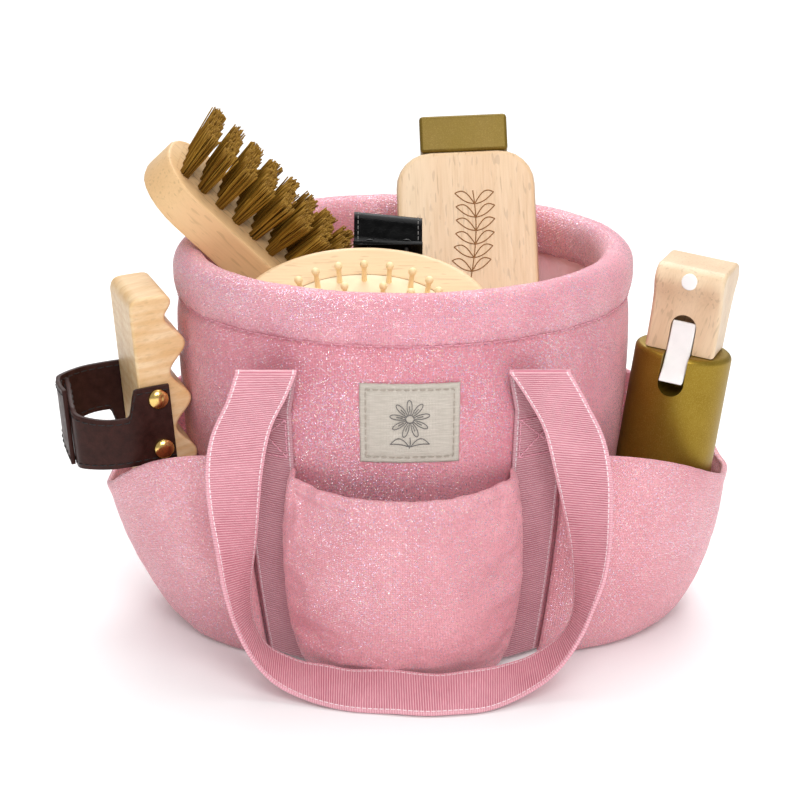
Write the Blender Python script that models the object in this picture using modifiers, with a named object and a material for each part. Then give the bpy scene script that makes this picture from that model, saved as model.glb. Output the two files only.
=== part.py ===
"""Round grooming bag with outside pockets, two webbing handles and the five tools it holds.

Frame: +Z up, the origin on the floor at the centre of the bag's base, -Y the bag's front.
All sizes are in metres and all angles in degrees unless a name says otherwise.
"""
import math

import bmesh
import bpy
from mathutils import Euler, Matrix, Vector
from mathutils.bvhtree import BVHTree
from mathutils.geometry import delaunay_2d_cdt

# Clearances
GAP = 0.0003
SOFT_GAP = 0.0005
SIDE_GAP = 0.0006
RIM_MARGIN = 0.0015
SEAT_SEARCH_TOP = 0.060
SEAT_STEP = 0.0004

# Bag body
BASE_RADIUS = 0.082
BODY_TOP_RADIUS = 0.100
BODY_HEIGHT = 0.150
WALL_CURVE = 2.1
ROUND_STEPS = 48
SHELL_THICKNESS = 0.0020
FOAM_THICKNESS = 0.0035
LINING_THICKNESS = 0.0012
BASE_PANEL_THICKNESS = 0.0020
BASE_BOARD_THICKNESS = 0.0025
COLLAR_HEIGHT = 0.0200
COLLAR_WIDTH = 0.0133
COLLAR_SLOT_DEPTH = 0.008
BED_DEPTH = 0.042
BED_TOP = BODY_HEIGHT - BED_DEPTH
BED_THICKNESS = 0.0025
BED_MARGIN = 0.0040

# Pockets
POCKET_THICKNESS = 0.003
POCKET_CORNER_HEIGHT = 0.096
FRONT_POCKET_BULGE = 0.0125
FRONT_POCKET_SAG = 0.007
RIGHT_POCKET_BULGE = 0.047
LEFT_POCKET_BULGE = 0.035
RIGHT_POCKET_DROOP = 0.029
LEFT_POCKET_DROOP = 0.034

# Webbing
TAPE_WIDTH = 0.025
TAPE_THICKNESS = 0.0012
TAPE_ANGLE = 34.5
FOLD_DEPTH = 0.012
FOLD_LENGTH = 0.020
HANDLE_THICKNESS = 0.0015
HANDLE_HALF_SPACING = 0.056
FOLD_SETBACK = 0.0034
HANDLE_AXIS_Y = BODY_TOP_RADIUS - FOLD_SETBACK
HANDLE_AXIS_Z = BODY_HEIGHT - FOLD_DEPTH
TAPE_SEWN_TOP = HANDLE_AXIS_Z - FOLD_LENGTH
HANDLE_STEPS = 64

# Label patch
PATCH_WIDTH = 0.041
PATCH_HEIGHT = 0.034
PATCH_DEPTH = 0.050
PATCH_BOTTOM = BODY_HEIGHT - PATCH_DEPTH
PATCH_CENTRE_X = 0.0028
PATCH_THICKNESS = 0.0008

# Bristle brush
BRISTLE_BLOCK_LENGTH = 0.130
BRISTLE_BLOCK_WIDTH = 0.050
BRISTLE_BLOCK_THICKNESS = 0.017
BRISTLE_BLOCK_END_RADIUS = 0.022
BRISTLE_BLOCK_BEVEL = 0.0018
BRISTLE_SLOPE = 44.5
BRISTLE_ROLL = 14.5
BRISTLE_YAW = 7.0
BRISTLE_SIDE = 0.0335
SLICE_THICKNESS = 0.003
SLICE_EDGE = 0.0012
TUFTS_ALONG = 8
TUFTS_ACROSS = 4
TUFT_PITCH_ALONG = 0.0102
TUFT_PITCH_ACROSS = 0.0086
TUFT_FIELD_SHIFT = -0.0183
TUFT_RADIUS = 0.0032
TUFT_SPREAD = 1.22
STRAND_RADIUS = 0.0008
STRAND_LENGTH = 0.0225
STRANDS_PER_TUFT = 10
FIELD_FLARE_ALONG = 1.12
FIELD_FLARE_ACROSS = 1.06

# Pin brush
PIN_BLOCK_HALF_LENGTH = 0.055
PIN_BLOCK_HALF_WIDTH = 0.035
PIN_BLOCK_THICKNESS = 0.016
PIN_BLOCK_BEVEL = 0.003
PIN_BLOCK_TILT = 40.0
PIN_BLOCK_X = -0.0165
PIN_BLOCK_Y = -0.0450
PAD_MARGIN = 0.0125
PAD_DEPTH = 0.003
PAD_CROWN = 0.0012
PIN_PITCH = 0.0094
PIN_RADIUS = 0.0012
PIN_BALL_RADIUS = 0.0021
PIN_LENGTH = 0.0115
PIN_SIDES = 6
PALM_STRAP_WIDTH = 0.030
PALM_STRAP_THICKNESS = 0.0018
PALM_STRAP_DEPTH = 0.0256
PALM_STRAP_BULGE = 0.0225
PALM_STRAP_X = 0.010
TACK_SHANK_RADIUS = 0.0009
TACK_HEAD_RADIUS = 0.0026
TACK_LENGTH = 0.007
TACK_SPACING = 0.016

# Flat bottle
BOTTLE_WIDTH = 0.063
BOTTLE_DEPTH = 0.025
BOTTLE_LENGTH = 0.088
BOTTLE_SHOULDER = 0.016
BOTTLE_FOOT_RADIUS = 0.006
BOTTLE_BEVEL = 0.0025
BOTTLE_LEAN = 24.0
BOTTLE_TILT = 2.5
BOTTLE_X = 0.0365
CAP_WIDTH = 0.040
CAP_DEPTH = 0.021
CAP_HEIGHT = 0.0170
CAP_BEVEL = 0.0016
DOWEL_RADIUS = 0.004
DOWEL_LENGTH = 0.018

# Curry comb
COMB_LENGTH = 0.121
COMB_DEPTH = 0.044
COMB_CREST = 0.0227
COMB_TROUGH = 0.0150
COMB_TOP_THICKNESS = 0.0186
COMB_PITCH = 0.0248
COMB_CRESTS = 4
COMB_FIRST_CREST = 0.0225
COMB_BEVEL = 0.0012
COMB_TILT = 5.0
COMB_YAW = 17.0
COMB_SIDE = -0.0230
HAND_STRAP_WIDTH = 0.034
HAND_STRAP_THICKNESS = 0.0020
HAND_STRAP_REACH = 0.0275
HAND_STRAP_HEIGHT = 0.0650
RIVET_HEAD_RADIUS = 0.0045
RIVET_SHANK_RADIUS = 0.0014
RIVET_LENGTH = 0.008
RIVET_SPACING = 0.0225

# Spray bottle
SPRAY_RADIUS = 0.0215
SPRAY_LENGTH = 0.098
SPRAY_EDGE = 0.0025
SPRAY_TILT = 8.4
SPRAY_YAW = -17.0
SPRAY_Y = -0.006
HEAD_WIDTH = 0.031
HEAD_HEIGHT = 0.0390
HEAD_BEVEL = 0.0012
SLOT_WIDTH = 0.0114
SLOT_HEIGHT = 0.0172
SLOT_FLOOR = 0.0020
SPRAY_DOWEL_Y = 0.0040
NOTCH_DEPTH = 0.0180
NOZZLE_RADIUS = 0.0036
NOZZLE_HEIGHT = 0.0334
NOZZLE_DEPTH = 0.003
NOZZLE_PROUD = 0.0006
TRIGGER_WIDTH = 0.0104
TRIGGER_REACH = 0.0216
TRIGGER_THICKNESS = 0.0032
TRIGGER_PIN_RADIUS = 0.0012
TRIGGER_PIN_LENGTH = 0.0200
TRIGGER_PIN_Y = -0.0072
TRIGGER_PIN_Z = 0.0100
SPRING_WIDTH = 0.0022
SPRING_RADIUS = 0.0026

COLOURS = {
    "pink_fabric": ((0.78, 0.28, 0.40), 0.75, 0.0),
    "pink_lining": ((0.80, 0.32, 0.42), 0.45, 0.0),
    "foam": ((0.85, 0.82, 0.78), 0.95, 0.0),
    "board": ((0.45, 0.36, 0.26), 0.9, 0.0),
    "pink_webbing": ((0.75, 0.27, 0.40), 0.7, 0.0),
    "label_cloth": ((0.62, 0.58, 0.52), 0.85, 0.0),
    "tissue": ((0.90, 0.87, 0.86), 0.8, 0.0),
    "pale_wood": ((0.80, 0.58, 0.36), 0.5, 0.0),
    "bristle": ((0.26, 0.17, 0.06), 0.7, 0.0),
    "cream_pad": ((0.85, 0.76, 0.60), 0.6, 0.0),
    "black_leather": ((0.02, 0.02, 0.02), 0.25, 0.0),
    "brown_leather": ((0.05, 0.02, 0.015), 0.35, 0.0),
    "brass": ((0.80, 0.58, 0.20), 0.25, 1.0),
    "gold_paint": ((0.30, 0.21, 0.04), 0.4, 0.4),
    "white_plastic": ((0.90, 0.90, 0.88), 0.35, 0.0),
    "steel": ((0.60, 0.60, 0.62), 0.3, 1.0),
}


def clear_scene():
    for item in list(bpy.data.objects):
        bpy.data.objects.remove(item, do_unlink=True)


def new_collection(name):
    group = bpy.data.collections.get(name) or bpy.data.collections.new(name)
    if group.name not in bpy.context.scene.collection.children:
        bpy.context.scene.collection.children.link(group)
    return group


def material(name):
    found = bpy.data.materials.get(name)
    if found:
        return found
    colour, roughness, metallic = COLOURS[name]
    made = bpy.data.materials.new(name)
    made.use_nodes = True
    shader = made.node_tree.nodes["Principled BSDF"]
    shader.inputs["Base Color"].default_value = (*colour, 1.0)
    shader.inputs["Roughness"].default_value = roughness
    shader.inputs["Metallic"].default_value = metallic
    made.diffuse_color = (*colour, 1.0)
    return made


def add_object(name, mesh, finish, parent=None, smooth=None):
    piece = bpy.data.objects.new(name, mesh)
    PARTS.objects.link(piece)
    mesh.materials.clear()
    mesh.materials.append(material(finish))
    piece.parent = parent
    if smooth is not None:
        mesh.shade_smooth()
        mesh.set_sharp_from_angle(angle=math.radians(smooth))
    return piece


def add_empty(name, matrix, parent=None):
    empty = bpy.data.objects.new(name, None)
    empty.empty_display_size = 0.02
    PARTS.objects.link(empty)
    empty.parent = parent
    empty.matrix_world = matrix
    return empty


def mesh_from(name, verts, faces):
    mesh = bpy.data.meshes.new(name)
    mesh.from_pydata([tuple(v) for v in verts], [], faces)
    mesh.update()
    return mesh


def turned(name, profile, finish, parent=None, steps=ROUND_STEPS, closed=False, smooth=40):
    """Revolve a profile of (radius, height) that runs down its outer side."""
    count = len(profile)
    edges = [(i, i + 1) for i in range(count - 1)]
    if closed:
        edges.append((count - 1, 0))
    mesh = bpy.data.meshes.new(name)
    mesh.from_pydata([(r, 0.0, z) for r, z in profile], edges, [])
    piece = add_object(name, mesh, finish, parent)
    screw = piece.modifiers.new("Turn", "SCREW")
    screw.angle = math.tau
    screw.steps = steps
    screw.render_steps = steps
    screw.use_merge_vertices = True
    screw.merge_threshold = 0.00002
    screw.use_smooth_shade = smooth is not None
    return piece


def grid_surface(name, rows, finish, thickness, offset, parent=None):
    """Skin a grid of points, rows upward and columns anticlockwise, and give it a thickness."""
    columns = len(rows[0])
    verts = [p for row in rows for p in row]
    faces = []
    for i in range(len(rows) - 1):
        for j in range(columns - 1):
            a = i * columns + j
            faces.append((a, a + 1, a + columns + 1, a + columns))
    piece = add_object(name, mesh_from(name, verts, faces), finish, parent, smooth=50)
    solid = piece.modifiers.new("Thickness", "SOLIDIFY")
    solid.thickness = thickness
    solid.offset = offset
    return piece


def plate(name, outline, thickness, finish, parent=None, bevel=0.0, segments=2, plane="XY"):
    """Extrude a flat outline to both sides of its plane, with rounded edges."""
    curve = bpy.data.curves.new(name, "CURVE")
    curve.dimensions = "2D"
    curve.fill_mode = "BOTH"
    curve.extrude = thickness / 2
    spline = curve.splines.new("POLY")
    spline.points.add(len(outline) - 1)
    for point, (x, y) in zip(spline.points, outline):
        point.co = (x, y, 0.0, 1.0)
    spline.use_cyclic_u = True
    source = bpy.data.objects.new(name + "_outline", curve)
    bpy.context.scene.collection.objects.link(source)
    bpy.context.view_layer.update()
    evaluated = source.evaluated_get(bpy.context.evaluated_depsgraph_get())
    mesh = bpy.data.meshes.new_from_object(evaluated)
    bpy.data.objects.remove(source, do_unlink=True)
    bpy.data.curves.remove(curve)
    mesh.name = name
    build = bmesh.new()
    build.from_mesh(mesh)
    bmesh.ops.remove_doubles(build, verts=build.verts, dist=0.000005)
    bmesh.ops.dissolve_limit(build, angle_limit=math.radians(0.5), verts=build.verts, edges=build.edges)
    if plane == "XZ":
        bmesh.ops.transform(build, matrix=Matrix.Rotation(math.radians(90), 4, "X"), verts=build.verts)
    elif plane == "YZ":
        turn = Matrix(((0, 0, 1, 0), (1, 0, 0, 0), (0, 1, 0, 0), (0, 0, 0, 1)))
        bmesh.ops.transform(build, matrix=turn, verts=build.verts)
    bmesh.ops.recalc_face_normals(build, faces=build.faces)
    build.to_mesh(mesh)
    build.free()
    piece = add_object(name, mesh, finish, parent, smooth=35)
    if bevel:
        soften(piece, bevel, segments)
    return piece


def soften(piece, width, segments=2):
    edge = piece.modifiers.new("Edges", "BEVEL")
    edge.width = width
    edge.segments = segments
    edge.limit_method = "ANGLE"
    edge.angle_limit = math.radians(40)
    edge.use_clamp_overlap = True
    return edge


def cylinder(name, radius, length, finish, parent=None, sides=16):
    """A cylinder along local Z, centred."""
    build = bmesh.new()
    bmesh.ops.create_cone(build, cap_ends=True, segments=sides, radius1=radius, radius2=radius,
                          depth=length)
    mesh = bpy.data.meshes.new(name)
    build.to_mesh(mesh)
    build.free()
    return add_object(name, mesh, finish, parent, smooth=40)


def block(name, size, finish, parent=None):
    build = bmesh.new()
    bmesh.ops.create_cube(build, size=1.0, matrix=Matrix.Diagonal((*size, 1.0)))
    mesh = bpy.data.meshes.new(name)
    build.to_mesh(mesh)
    build.free()
    return add_object(name, mesh, finish, parent)


def as_cutter(piece):
    for group in list(piece.users_collection):
        group.objects.unlink(piece)
    CUTTERS.objects.link(piece)
    piece.hide_render = True
    piece.display_type = "WIRE"
    return piece


def cut(piece, *cutters):
    for cutter in cutters:
        boolean = piece.modifiers.new("Cut " + cutter.name, "BOOLEAN")
        boolean.operation = "DIFFERENCE"
        boolean.solver = "EXACT"
        boolean.object = as_cutter(cutter)


def rounded_outline(half_x, half_y, radius, steps=6):
    """A rectangle with round corners, anticlockwise."""
    points = []
    corners = ((1, 1, 0), (-1, 1, 90), (-1, -1, 180), (1, -1, 270))
    for sign_x, sign_y, start in corners:
        centre_x = sign_x * (half_x - radius)
        centre_y = sign_y * (half_y - radius)
        for i in range(steps + 1):
            angle = math.radians(start + 90 * i / steps)
            points.append((centre_x + radius * math.cos(angle), centre_y + radius * math.sin(angle)))
    return points


def oval_outline(half_x, half_y, steps=36):
    points = []
    for i in range(steps):
        angle = math.tau * i / steps
        points.append((half_x * math.cos(angle), half_y * math.sin(angle)))
    return points


def smooth_route(stations, count):
    """Read evenly spaced rows from a Catmull-Rom curve through rows of numbers."""
    padded = [stations[0]] + list(stations) + [stations[-1]]
    spans = len(stations) - 1
    route = []
    for i in range(count + 1):
        place = spans * i / count
        span = min(int(place), spans - 1)
        t = place - span
        a, b, c, d = padded[span:span + 4]
        row = []
        for p, q, r, s in zip(a, b, c, d):
            row.append(0.5 * (2 * q + (r - p) * t + (2 * p - 5 * q + 4 * r - s) * t ** 2
                              + (3 * q - p - 3 * r + s) * t ** 3))
        route.append(row)
    return route


# Bag body
def wall_radius(z):
    """Outside radius of the bag's wall, which flares quickly near the base."""
    rise = min(max(z / BODY_HEIGHT, 0.0), 1.0)
    return BASE_RADIUS + (BODY_TOP_RADIUS - BASE_RADIUS) * (1 - (1 - rise) ** WALL_CURVE)


def around(angle, radius, z):
    """A point at an angle from the bag's front, anticlockwise seen from above."""
    turn = math.radians(angle)
    return Vector((radius * math.sin(turn), -radius * math.cos(turn), z))


SHELL_BOTTOM = BASE_PANEL_THICKNESS + GAP
FOAM_OUTSET = SHELL_THICKNESS + GAP
LINING_OUTSET = FOAM_OUTSET + FOAM_THICKNESS + GAP
WALL_THICKNESS = LINING_OUTSET + LINING_THICKNESS
LINING_BOTTOM = SHELL_BOTTOM + BASE_BOARD_THICKNESS + GAP
BAG_FLOOR = LINING_BOTTOM + LINING_THICKNESS
COLLAR_BOTTOM = BODY_HEIGHT + GAP
BAG_HEIGHT = BODY_HEIGHT + COLLAR_HEIGHT
COLLAR_OUTER = BODY_TOP_RADIUS + GAP
COLLAR_INNER = COLLAR_OUTER - COLLAR_WIDTH
RIDGE_BEND = COLLAR_WIDTH / 2
RIDGE_RADIUS = COLLAR_OUTER - RIDGE_BEND
RIDGE_Z = BAG_HEIGHT - RIDGE_BEND


def wall_layer(name, inset, thickness, bottom, top, finish):
    levels = [bottom + (top - bottom) * share for share in (0.0, 0.12, 0.32, 0.6, 0.8, 1.0)]
    outer = [(wall_radius(z) - inset, z) for z in reversed(levels)]
    inner = [(wall_radius(z) - inset - thickness, z) for z in levels]
    return turned(name, outer + inner, finish, closed=True)


def make_body():
    turned("base_panel", [(0.0, BASE_PANEL_THICKNESS), (BASE_RADIUS, BASE_PANEL_THICKNESS),
                          (BASE_RADIUS, 0.0), (0.0, 0.0)], "pink_fabric")
    board_radius = BASE_RADIUS - SHELL_THICKNESS - GAP
    board_top = SHELL_BOTTOM + BASE_BOARD_THICKNESS
    turned("base_board", [(0.0, board_top), (board_radius, board_top),
                          (board_radius, SHELL_BOTTOM), (0.0, SHELL_BOTTOM)], "board")
    wall_layer("outer_shell", 0.0, SHELL_THICKNESS, SHELL_BOTTOM, BODY_HEIGHT, "pink_fabric")
    slot_top = COLLAR_BOTTOM + COLLAR_SLOT_DEPTH
    wall_layer("foam_wall", FOAM_OUTSET, FOAM_THICKNESS, LINING_BOTTOM, slot_top - GAP, "foam")
    make_lining(slot_top - GAP)
    make_collar(slot_top)
    make_bed()


def make_lining(top):
    levels = [top, top * 0.8, top * 0.6, top * 0.32, top * 0.12, LINING_BOTTOM]
    outer = [(wall_radius(z) - LINING_OUTSET, z) for z in levels]
    rising = [BAG_FLOOR] + [z for z in reversed(levels[:-1])]
    inner = [(wall_radius(z) - WALL_THICKNESS, z) for z in rising]
    turned("lining", [(0.0, BAG_FLOOR)] + inner + outer + [(0.0, LINING_BOTTOM)], "pink_lining")


def make_collar(slot_top):
    """The padded rim: a band whose slot holds the foam and lining, with a round ridge on top."""
    slot_outer = BODY_TOP_RADIUS - FOAM_OUTSET + GAP
    slot_inner = BODY_TOP_RADIUS - WALL_THICKNESS - GAP
    arc = []
    for i in range(9):
        angle = math.radians(180 - 180 * i / 8)
        arc.append((RIDGE_RADIUS + RIDGE_BEND * math.cos(angle), RIDGE_Z + RIDGE_BEND * math.sin(angle)))
    profile = arc + [
        (COLLAR_OUTER, COLLAR_BOTTOM),
        (slot_outer, COLLAR_BOTTOM),
        (slot_outer, slot_top),
        (slot_inner, slot_top),
        (slot_inner, COLLAR_BOTTOM),
        (COLLAR_INNER, COLLAR_BOTTOM),
    ]
    turned("rim_collar", profile, "pink_fabric", closed=True)


def make_bed():
    """The wad of tissue that lifts the tools: a dome, open below."""
    side = wall_radius(BED_TOP * 0.6) - WALL_THICKNESS - BED_MARGIN
    foot = wall_radius(BAG_FLOOR) - WALL_THICKNESS - BED_MARGIN / 2
    outer = [
        (0.0, BED_TOP),
        (side - 0.012, BED_TOP),
        (side - 0.004, BED_TOP - 0.003),
        (side, BED_TOP - 0.011),
        (side, BED_TOP * 0.6),
        (foot, BAG_FLOOR + GAP),
    ]
    inner = [
        (foot - BED_THICKNESS, BAG_FLOOR + GAP),
        (side - BED_THICKNESS, BED_TOP * 0.6),
        (side - BED_THICKNESS, BED_TOP - 0.013),
        (side - 0.013, BED_TOP - BED_THICKNESS),
        (0.0, BED_TOP - BED_THICKNESS),
    ]
    turned("tissue_wad", outer + inner, "tissue")


# Pockets
def pocket_rows(centre, edge_angle, bulge, droop, belly, columns, fullness, dip):
    """Rows of points on a pocket's outside, from its bottom seam to its top edge.

    edge_angle(z) gives the half span, so that the pocket ends beside the webbing at every height.
    """
    flange = POCKET_THICKNESS + SOFT_GAP
    rows = []
    for out, share, lift in belly:
        row = []
        for j in range(columns + 1):
            s = -1 + 2 * j / columns
            swell = math.cos(math.pi * s / 2) if abs(s) < 1 else 0.0
            full = swell ** fullness
            top = POCKET_CORNER_HEIGHT - droop * swell ** dip
            z = GAP + lift * (1 - full) + share * (top - GAP)
            radius = wall_radius(z) + flange + bulge * full * out
            row.append(around(centre + s * edge_angle(z), radius, z))
        rows.append(row)
    return rows


def tape_edge(z):
    """Angle that half the webbing and its side gap take at a height."""
    return math.degrees((TAPE_WIDTH / 2 + SIDE_GAP) / wall_radius(z))


def make_pockets():
    right_belly = ((0.0, 0.0, 0.0), (0.34, 0.0, 0.002), (0.62, 0.003, 0.004), (0.78, 0.05, 0.004),
                   (0.88, 0.16, 0.0), (0.96, 0.40, 0.0), (1.0, 0.70, 0.0), (1.0, 1.0, 0.0))
    left_belly = ((0.0, 0.0, 0.0), (0.24, 0.0, 0.002), (0.42, 0.003, 0.004), (0.54, 0.05, 0.004),
                  (0.68, 0.16, 0.0), (0.86, 0.40, 0.0), (0.97, 0.70, 0.0), (1.0, 1.0, 0.0))
    front_belly = ((0.0, 0.0, 0.0), (0.55, 0.012, 0.002), (1.0, 0.07, 0.0), (1.30, 0.2, 0.0),
                   (1.45, 0.42, 0.0), (1.35, 0.66, 0.0), (1.1, 0.86, 0.0), (1.0, 1.0, 0.0))

    def front_span(z):
        return TAPE_ANGLE - tape_edge(z)

    def side_span(z):
        return 90 - TAPE_ANGLE - tape_edge(z)

    pockets = (
        ("front_pocket", 0, front_span, FRONT_POCKET_BULGE, FRONT_POCKET_SAG, front_belly, 14, 0.45, 1.0),
        ("back_pocket", 180, front_span, FRONT_POCKET_BULGE, FRONT_POCKET_SAG, front_belly, 14, 0.45, 1.0),
        ("right_pocket", 90, side_span, RIGHT_POCKET_BULGE, RIGHT_POCKET_DROOP, right_belly, 20, 0.75, 2.4),
        ("left_pocket", -90, side_span, LEFT_POCKET_BULGE, LEFT_POCKET_DROOP, left_belly, 20, 0.6, 2.4),
    )
    for name, centre, span, bulge, droop, belly, columns, fullness, dip in pockets:
        rows = pocket_rows(centre, span, bulge, droop, belly, columns, fullness, dip)
        grid_surface(name, rows, "pink_fabric", POCKET_THICKNESS, -1)


# Webbing
def make_tape(name, centre):
    """A tape sewn up the wall, whose free top leans out to the handle's fold."""
    columns = 4
    steps = 12
    rows = []
    for i in range(steps + 1):
        z = SHELL_BOTTOM + (TAPE_SEWN_TOP - SHELL_BOTTOM) * i / steps
        half = math.degrees(TAPE_WIDTH / 2 / wall_radius(z))
        row = []
        for j in range(columns + 1):
            row.append(around(centre + half * (2 * j / columns - 1), wall_radius(z) + SOFT_GAP, z))
        rows.append(row)
    front = 1 if math.cos(math.radians(centre)) > 0 else -1
    side = 1 if math.sin(math.radians(centre)) > 0 else -1
    end_y = -front * (HANDLE_AXIS_Y - GAP - TAPE_THICKNESS)
    last = rows[-1]
    ends = []
    for j in range(columns + 1):
        x = side * HANDLE_HALF_SPACING + front * TAPE_WIDTH * (j / columns - 0.5)
        ends.append(Vector((x, end_y, HANDLE_AXIS_Z - 2 * GAP)))
    for i in (1, 2, 3):
        rows.append([a.lerp(b, i / 3) for a, b in zip(last, ends)])
    grid_surface(name, rows, "pink_webbing", TAPE_THICKNESS, 1)


def handle_stations():
    """Centre, heading and tilt of the front handle's width, from the left fold to the right.

    The loop hangs from its folds, turns its edge to the front on the way down
    and lies on the floor in front of the bag. The rows are shares of the fold's
    place from the middle, from the bag's axis and from the floor.
    """
    fold_y = -(HANDLE_AXIS_Y + GAP + HANDLE_THICKNESS / 2)
    reach = HANDLE_HALF_SPACING
    shares = (
        (-1.071, -1.021, 0.920, 184, -0.06),
        (-1.188, -1.025, 0.819, 190, -0.06),
        (-1.241, -1.035, 0.703, 202, 0.05),
        (-1.250, -1.035, 0.580, 217, 0.15),
        (-1.241, -1.033, 0.449, 234, 0.22),
        (-1.232, -1.030, 0.319, 248, 0.20),
        (-1.179, -1.030, 0.196, 259, 0.12),
        (-1.036, -1.046, 0.098, 267, -0.10),
        (-0.804, -1.097, 0.052, 270, -0.26),
        (-0.536, -1.159, 0.041, 270, -0.33),
        (-0.232, -1.206, 0.039, 270, -0.34),
        (0.089, -1.232, 0.039, 270, -0.34),
        (0.393, -1.227, 0.040, 270, -0.33),
        (0.679, -1.180, 0.043, 270, -0.30),
        (0.946, -1.097, 0.062, 271, -0.20),
        (1.179, -1.046, 0.120, 274, -0.04),
        (1.312, -1.030, 0.210, 281, 0.12),
        (1.375, -1.030, 0.319, 292, 0.20),
        (1.393, -1.033, 0.442, 306, 0.22),
        (1.366, -1.035, 0.572, 322, 0.15),
        (1.321, -1.035, 0.699, 338, 0.05),
        (1.250, -1.025, 0.819, 350, -0.06),
        (1.116, -1.021, 0.924, 356, -0.06),
    )
    hanging = [(x * reach, y * HANDLE_AXIS_Y, z * HANDLE_AXIS_Z, heading, tilt)
               for x, y, z, heading, tilt in shares]
    return ((-reach, fold_y, HANDLE_AXIS_Z, 180, 0.00), *hanging, (reach, fold_y, HANDLE_AXIS_Z, 360, 0.00))


def make_handle(name, turn, pivot):
    """A ribbon along the handle's stations, about its hinge empty."""
    rows = []
    to_pivot = pivot.matrix_world.inverted() @ Matrix.Rotation(math.radians(turn), 4, "Z")
    for x, y, z, heading, tilt in smooth_route(handle_stations(), HANDLE_STEPS):
        angle = math.radians(heading)
        across = Vector((math.cos(angle), math.sin(angle), tilt)).normalized() * TAPE_WIDTH / 2
        centre = Vector((x, y, z))
        rows.append([to_pivot @ (centre - across), to_pivot @ centre, to_pivot @ (centre + across)])
    grid_surface(name, rows, "pink_webbing", HANDLE_THICKNESS, 0, parent=pivot)


def make_webbing():
    make_tape("front_left_tape", -TAPE_ANGLE)
    make_tape("front_right_tape", TAPE_ANGLE)
    make_tape("back_right_tape", 180 - TAPE_ANGLE)
    make_tape("back_left_tape", 180 + TAPE_ANGLE)
    front = add_empty("front_handle_hinge", Matrix.Translation((0, -HANDLE_AXIS_Y, HANDLE_AXIS_Z)))
    back = add_empty("back_handle_hinge", Matrix.Translation((0, HANDLE_AXIS_Y, HANDLE_AXIS_Z)))
    bpy.context.view_layer.update()
    make_handle("front_handle", 0, front)
    make_handle("back_handle", 180, back)


def make_patch():
    rows = []
    columns = 8
    start = math.degrees((PATCH_CENTRE_X - PATCH_WIDTH / 2) / BODY_TOP_RADIUS)
    span = math.degrees(PATCH_WIDTH / BODY_TOP_RADIUS)
    for i in range(4):
        z = PATCH_BOTTOM + PATCH_HEIGHT * i / 3
        rows.append([around(start + span * j / columns, wall_radius(z) + SOFT_GAP, z)
                     for j in range(columns + 1)])
    grid_surface("label_patch", rows, "label_cloth", PATCH_THICKNESS, 1)


# Seating of the tools that lean on the rim
def rim_support(normal, across, centre_across, half_width, outward):
    """Furthest reach of the rim's ridge along a direction, where the tool's width crosses it."""
    reach = -1.0
    for i in range(720):
        angle = math.tau * i / 720
        side = Vector((math.cos(angle), math.sin(angle), 0.0))
        if side.dot(outward) < 0.2:
            continue
        point = side * RIDGE_RADIUS + Vector((0.0, 0.0, RIDGE_Z))
        if abs(across.dot(point) - centre_across) > half_width + RIM_MARGIN:
            continue
        reach = max(reach, normal.dot(point))
    return reach + RIDGE_BEND


def seat_on_bed(turn, lowest):
    """How far a tool's local origin stands above the bed when its lowest corner rests there."""
    return BED_TOP + GAP - min((turn @ Vector(p)).z for p in lowest)


# Bristle brush
def make_bristle_brush():
    turn = (Matrix.Rotation(math.radians(BRISTLE_YAW), 3, "Z")
            @ Matrix.Rotation(math.radians(BRISTLE_SLOPE), 3, "Y")
            @ Matrix.Rotation(math.radians(BRISTLE_ROLL), 3, "X"))
    along, across, normal = turn.col[0], turn.col[1], turn.col[2]
    half_thickness = BRISTLE_BLOCK_THICKNESS / 2
    support = rim_support(normal, across, BRISTLE_SIDE, BRISTLE_BLOCK_WIDTH / 2, Vector((-1, 0, 0)))
    centre = normal * (support + GAP + half_thickness) + across * BRISTLE_SIDE
    outline = rounded_outline(BRISTLE_BLOCK_LENGTH / 2, BRISTLE_BLOCK_WIDTH / 2,
                              BRISTLE_BLOCK_END_RADIUS)
    height = seat_on_bed(turn, [(x, y, -half_thickness) for x, y in outline])
    centre = centre + along * (height - centre.z) / along.z
    place = add_empty("bristle_brush_place", Matrix.Translation(centre) @ turn.to_4x4())
    wood = plate("bristle_brush_block", outline, BRISTLE_BLOCK_THICKNESS, "pale_wood", place,
                 BRISTLE_BLOCK_BEVEL)
    half_along = (TUFTS_ALONG - 1) / 2 * TUFT_PITCH_ALONG + TUFT_RADIUS + SLICE_EDGE
    half_across = (TUFTS_ACROSS - 1) / 2 * TUFT_PITCH_ACROSS + TUFT_RADIUS + SLICE_EDGE
    recess = plate("bristle_recess", rounded_outline(half_along + GAP, half_across + GAP, 0.005, 3),
                   2 * (SLICE_THICKNESS + GAP), "pale_wood", place)
    recess.location = (TUFT_FIELD_SHIFT, 0.0, half_thickness)
    cut(wood, recess)
    make_bristles(place, half_along, half_across, half_thickness)


def tuft_strands():
    """Base and tip centres of every strand, spread so that no two cross."""
    strands = []
    inner = 3
    for column in range(TUFTS_ALONG):
        for row in range(TUFTS_ACROSS):
            x = (column - (TUFTS_ALONG - 1) / 2) * TUFT_PITCH_ALONG
            y = (row - (TUFTS_ACROSS - 1) / 2) * TUFT_PITCH_ACROSS
            for k in range(STRANDS_PER_TUFT):
                ring = TUFT_RADIUS * (0.36 if k < inner else 0.84)
                count = inner if k < inner else STRANDS_PER_TUFT - inner
                angle = math.tau * k / count + 0.5 * column + 0.9 * row
                offset = Vector((ring * math.cos(angle), ring * math.sin(angle), 0.0))
                base = Vector((x, y, 0.0)) + offset
                tip = Vector((x * FIELD_FLARE_ALONG, y * FIELD_FLARE_ACROSS, STRAND_LENGTH))
                tip += offset * TUFT_SPREAD
                strands.append((base, tip, angle))
    return strands


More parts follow.
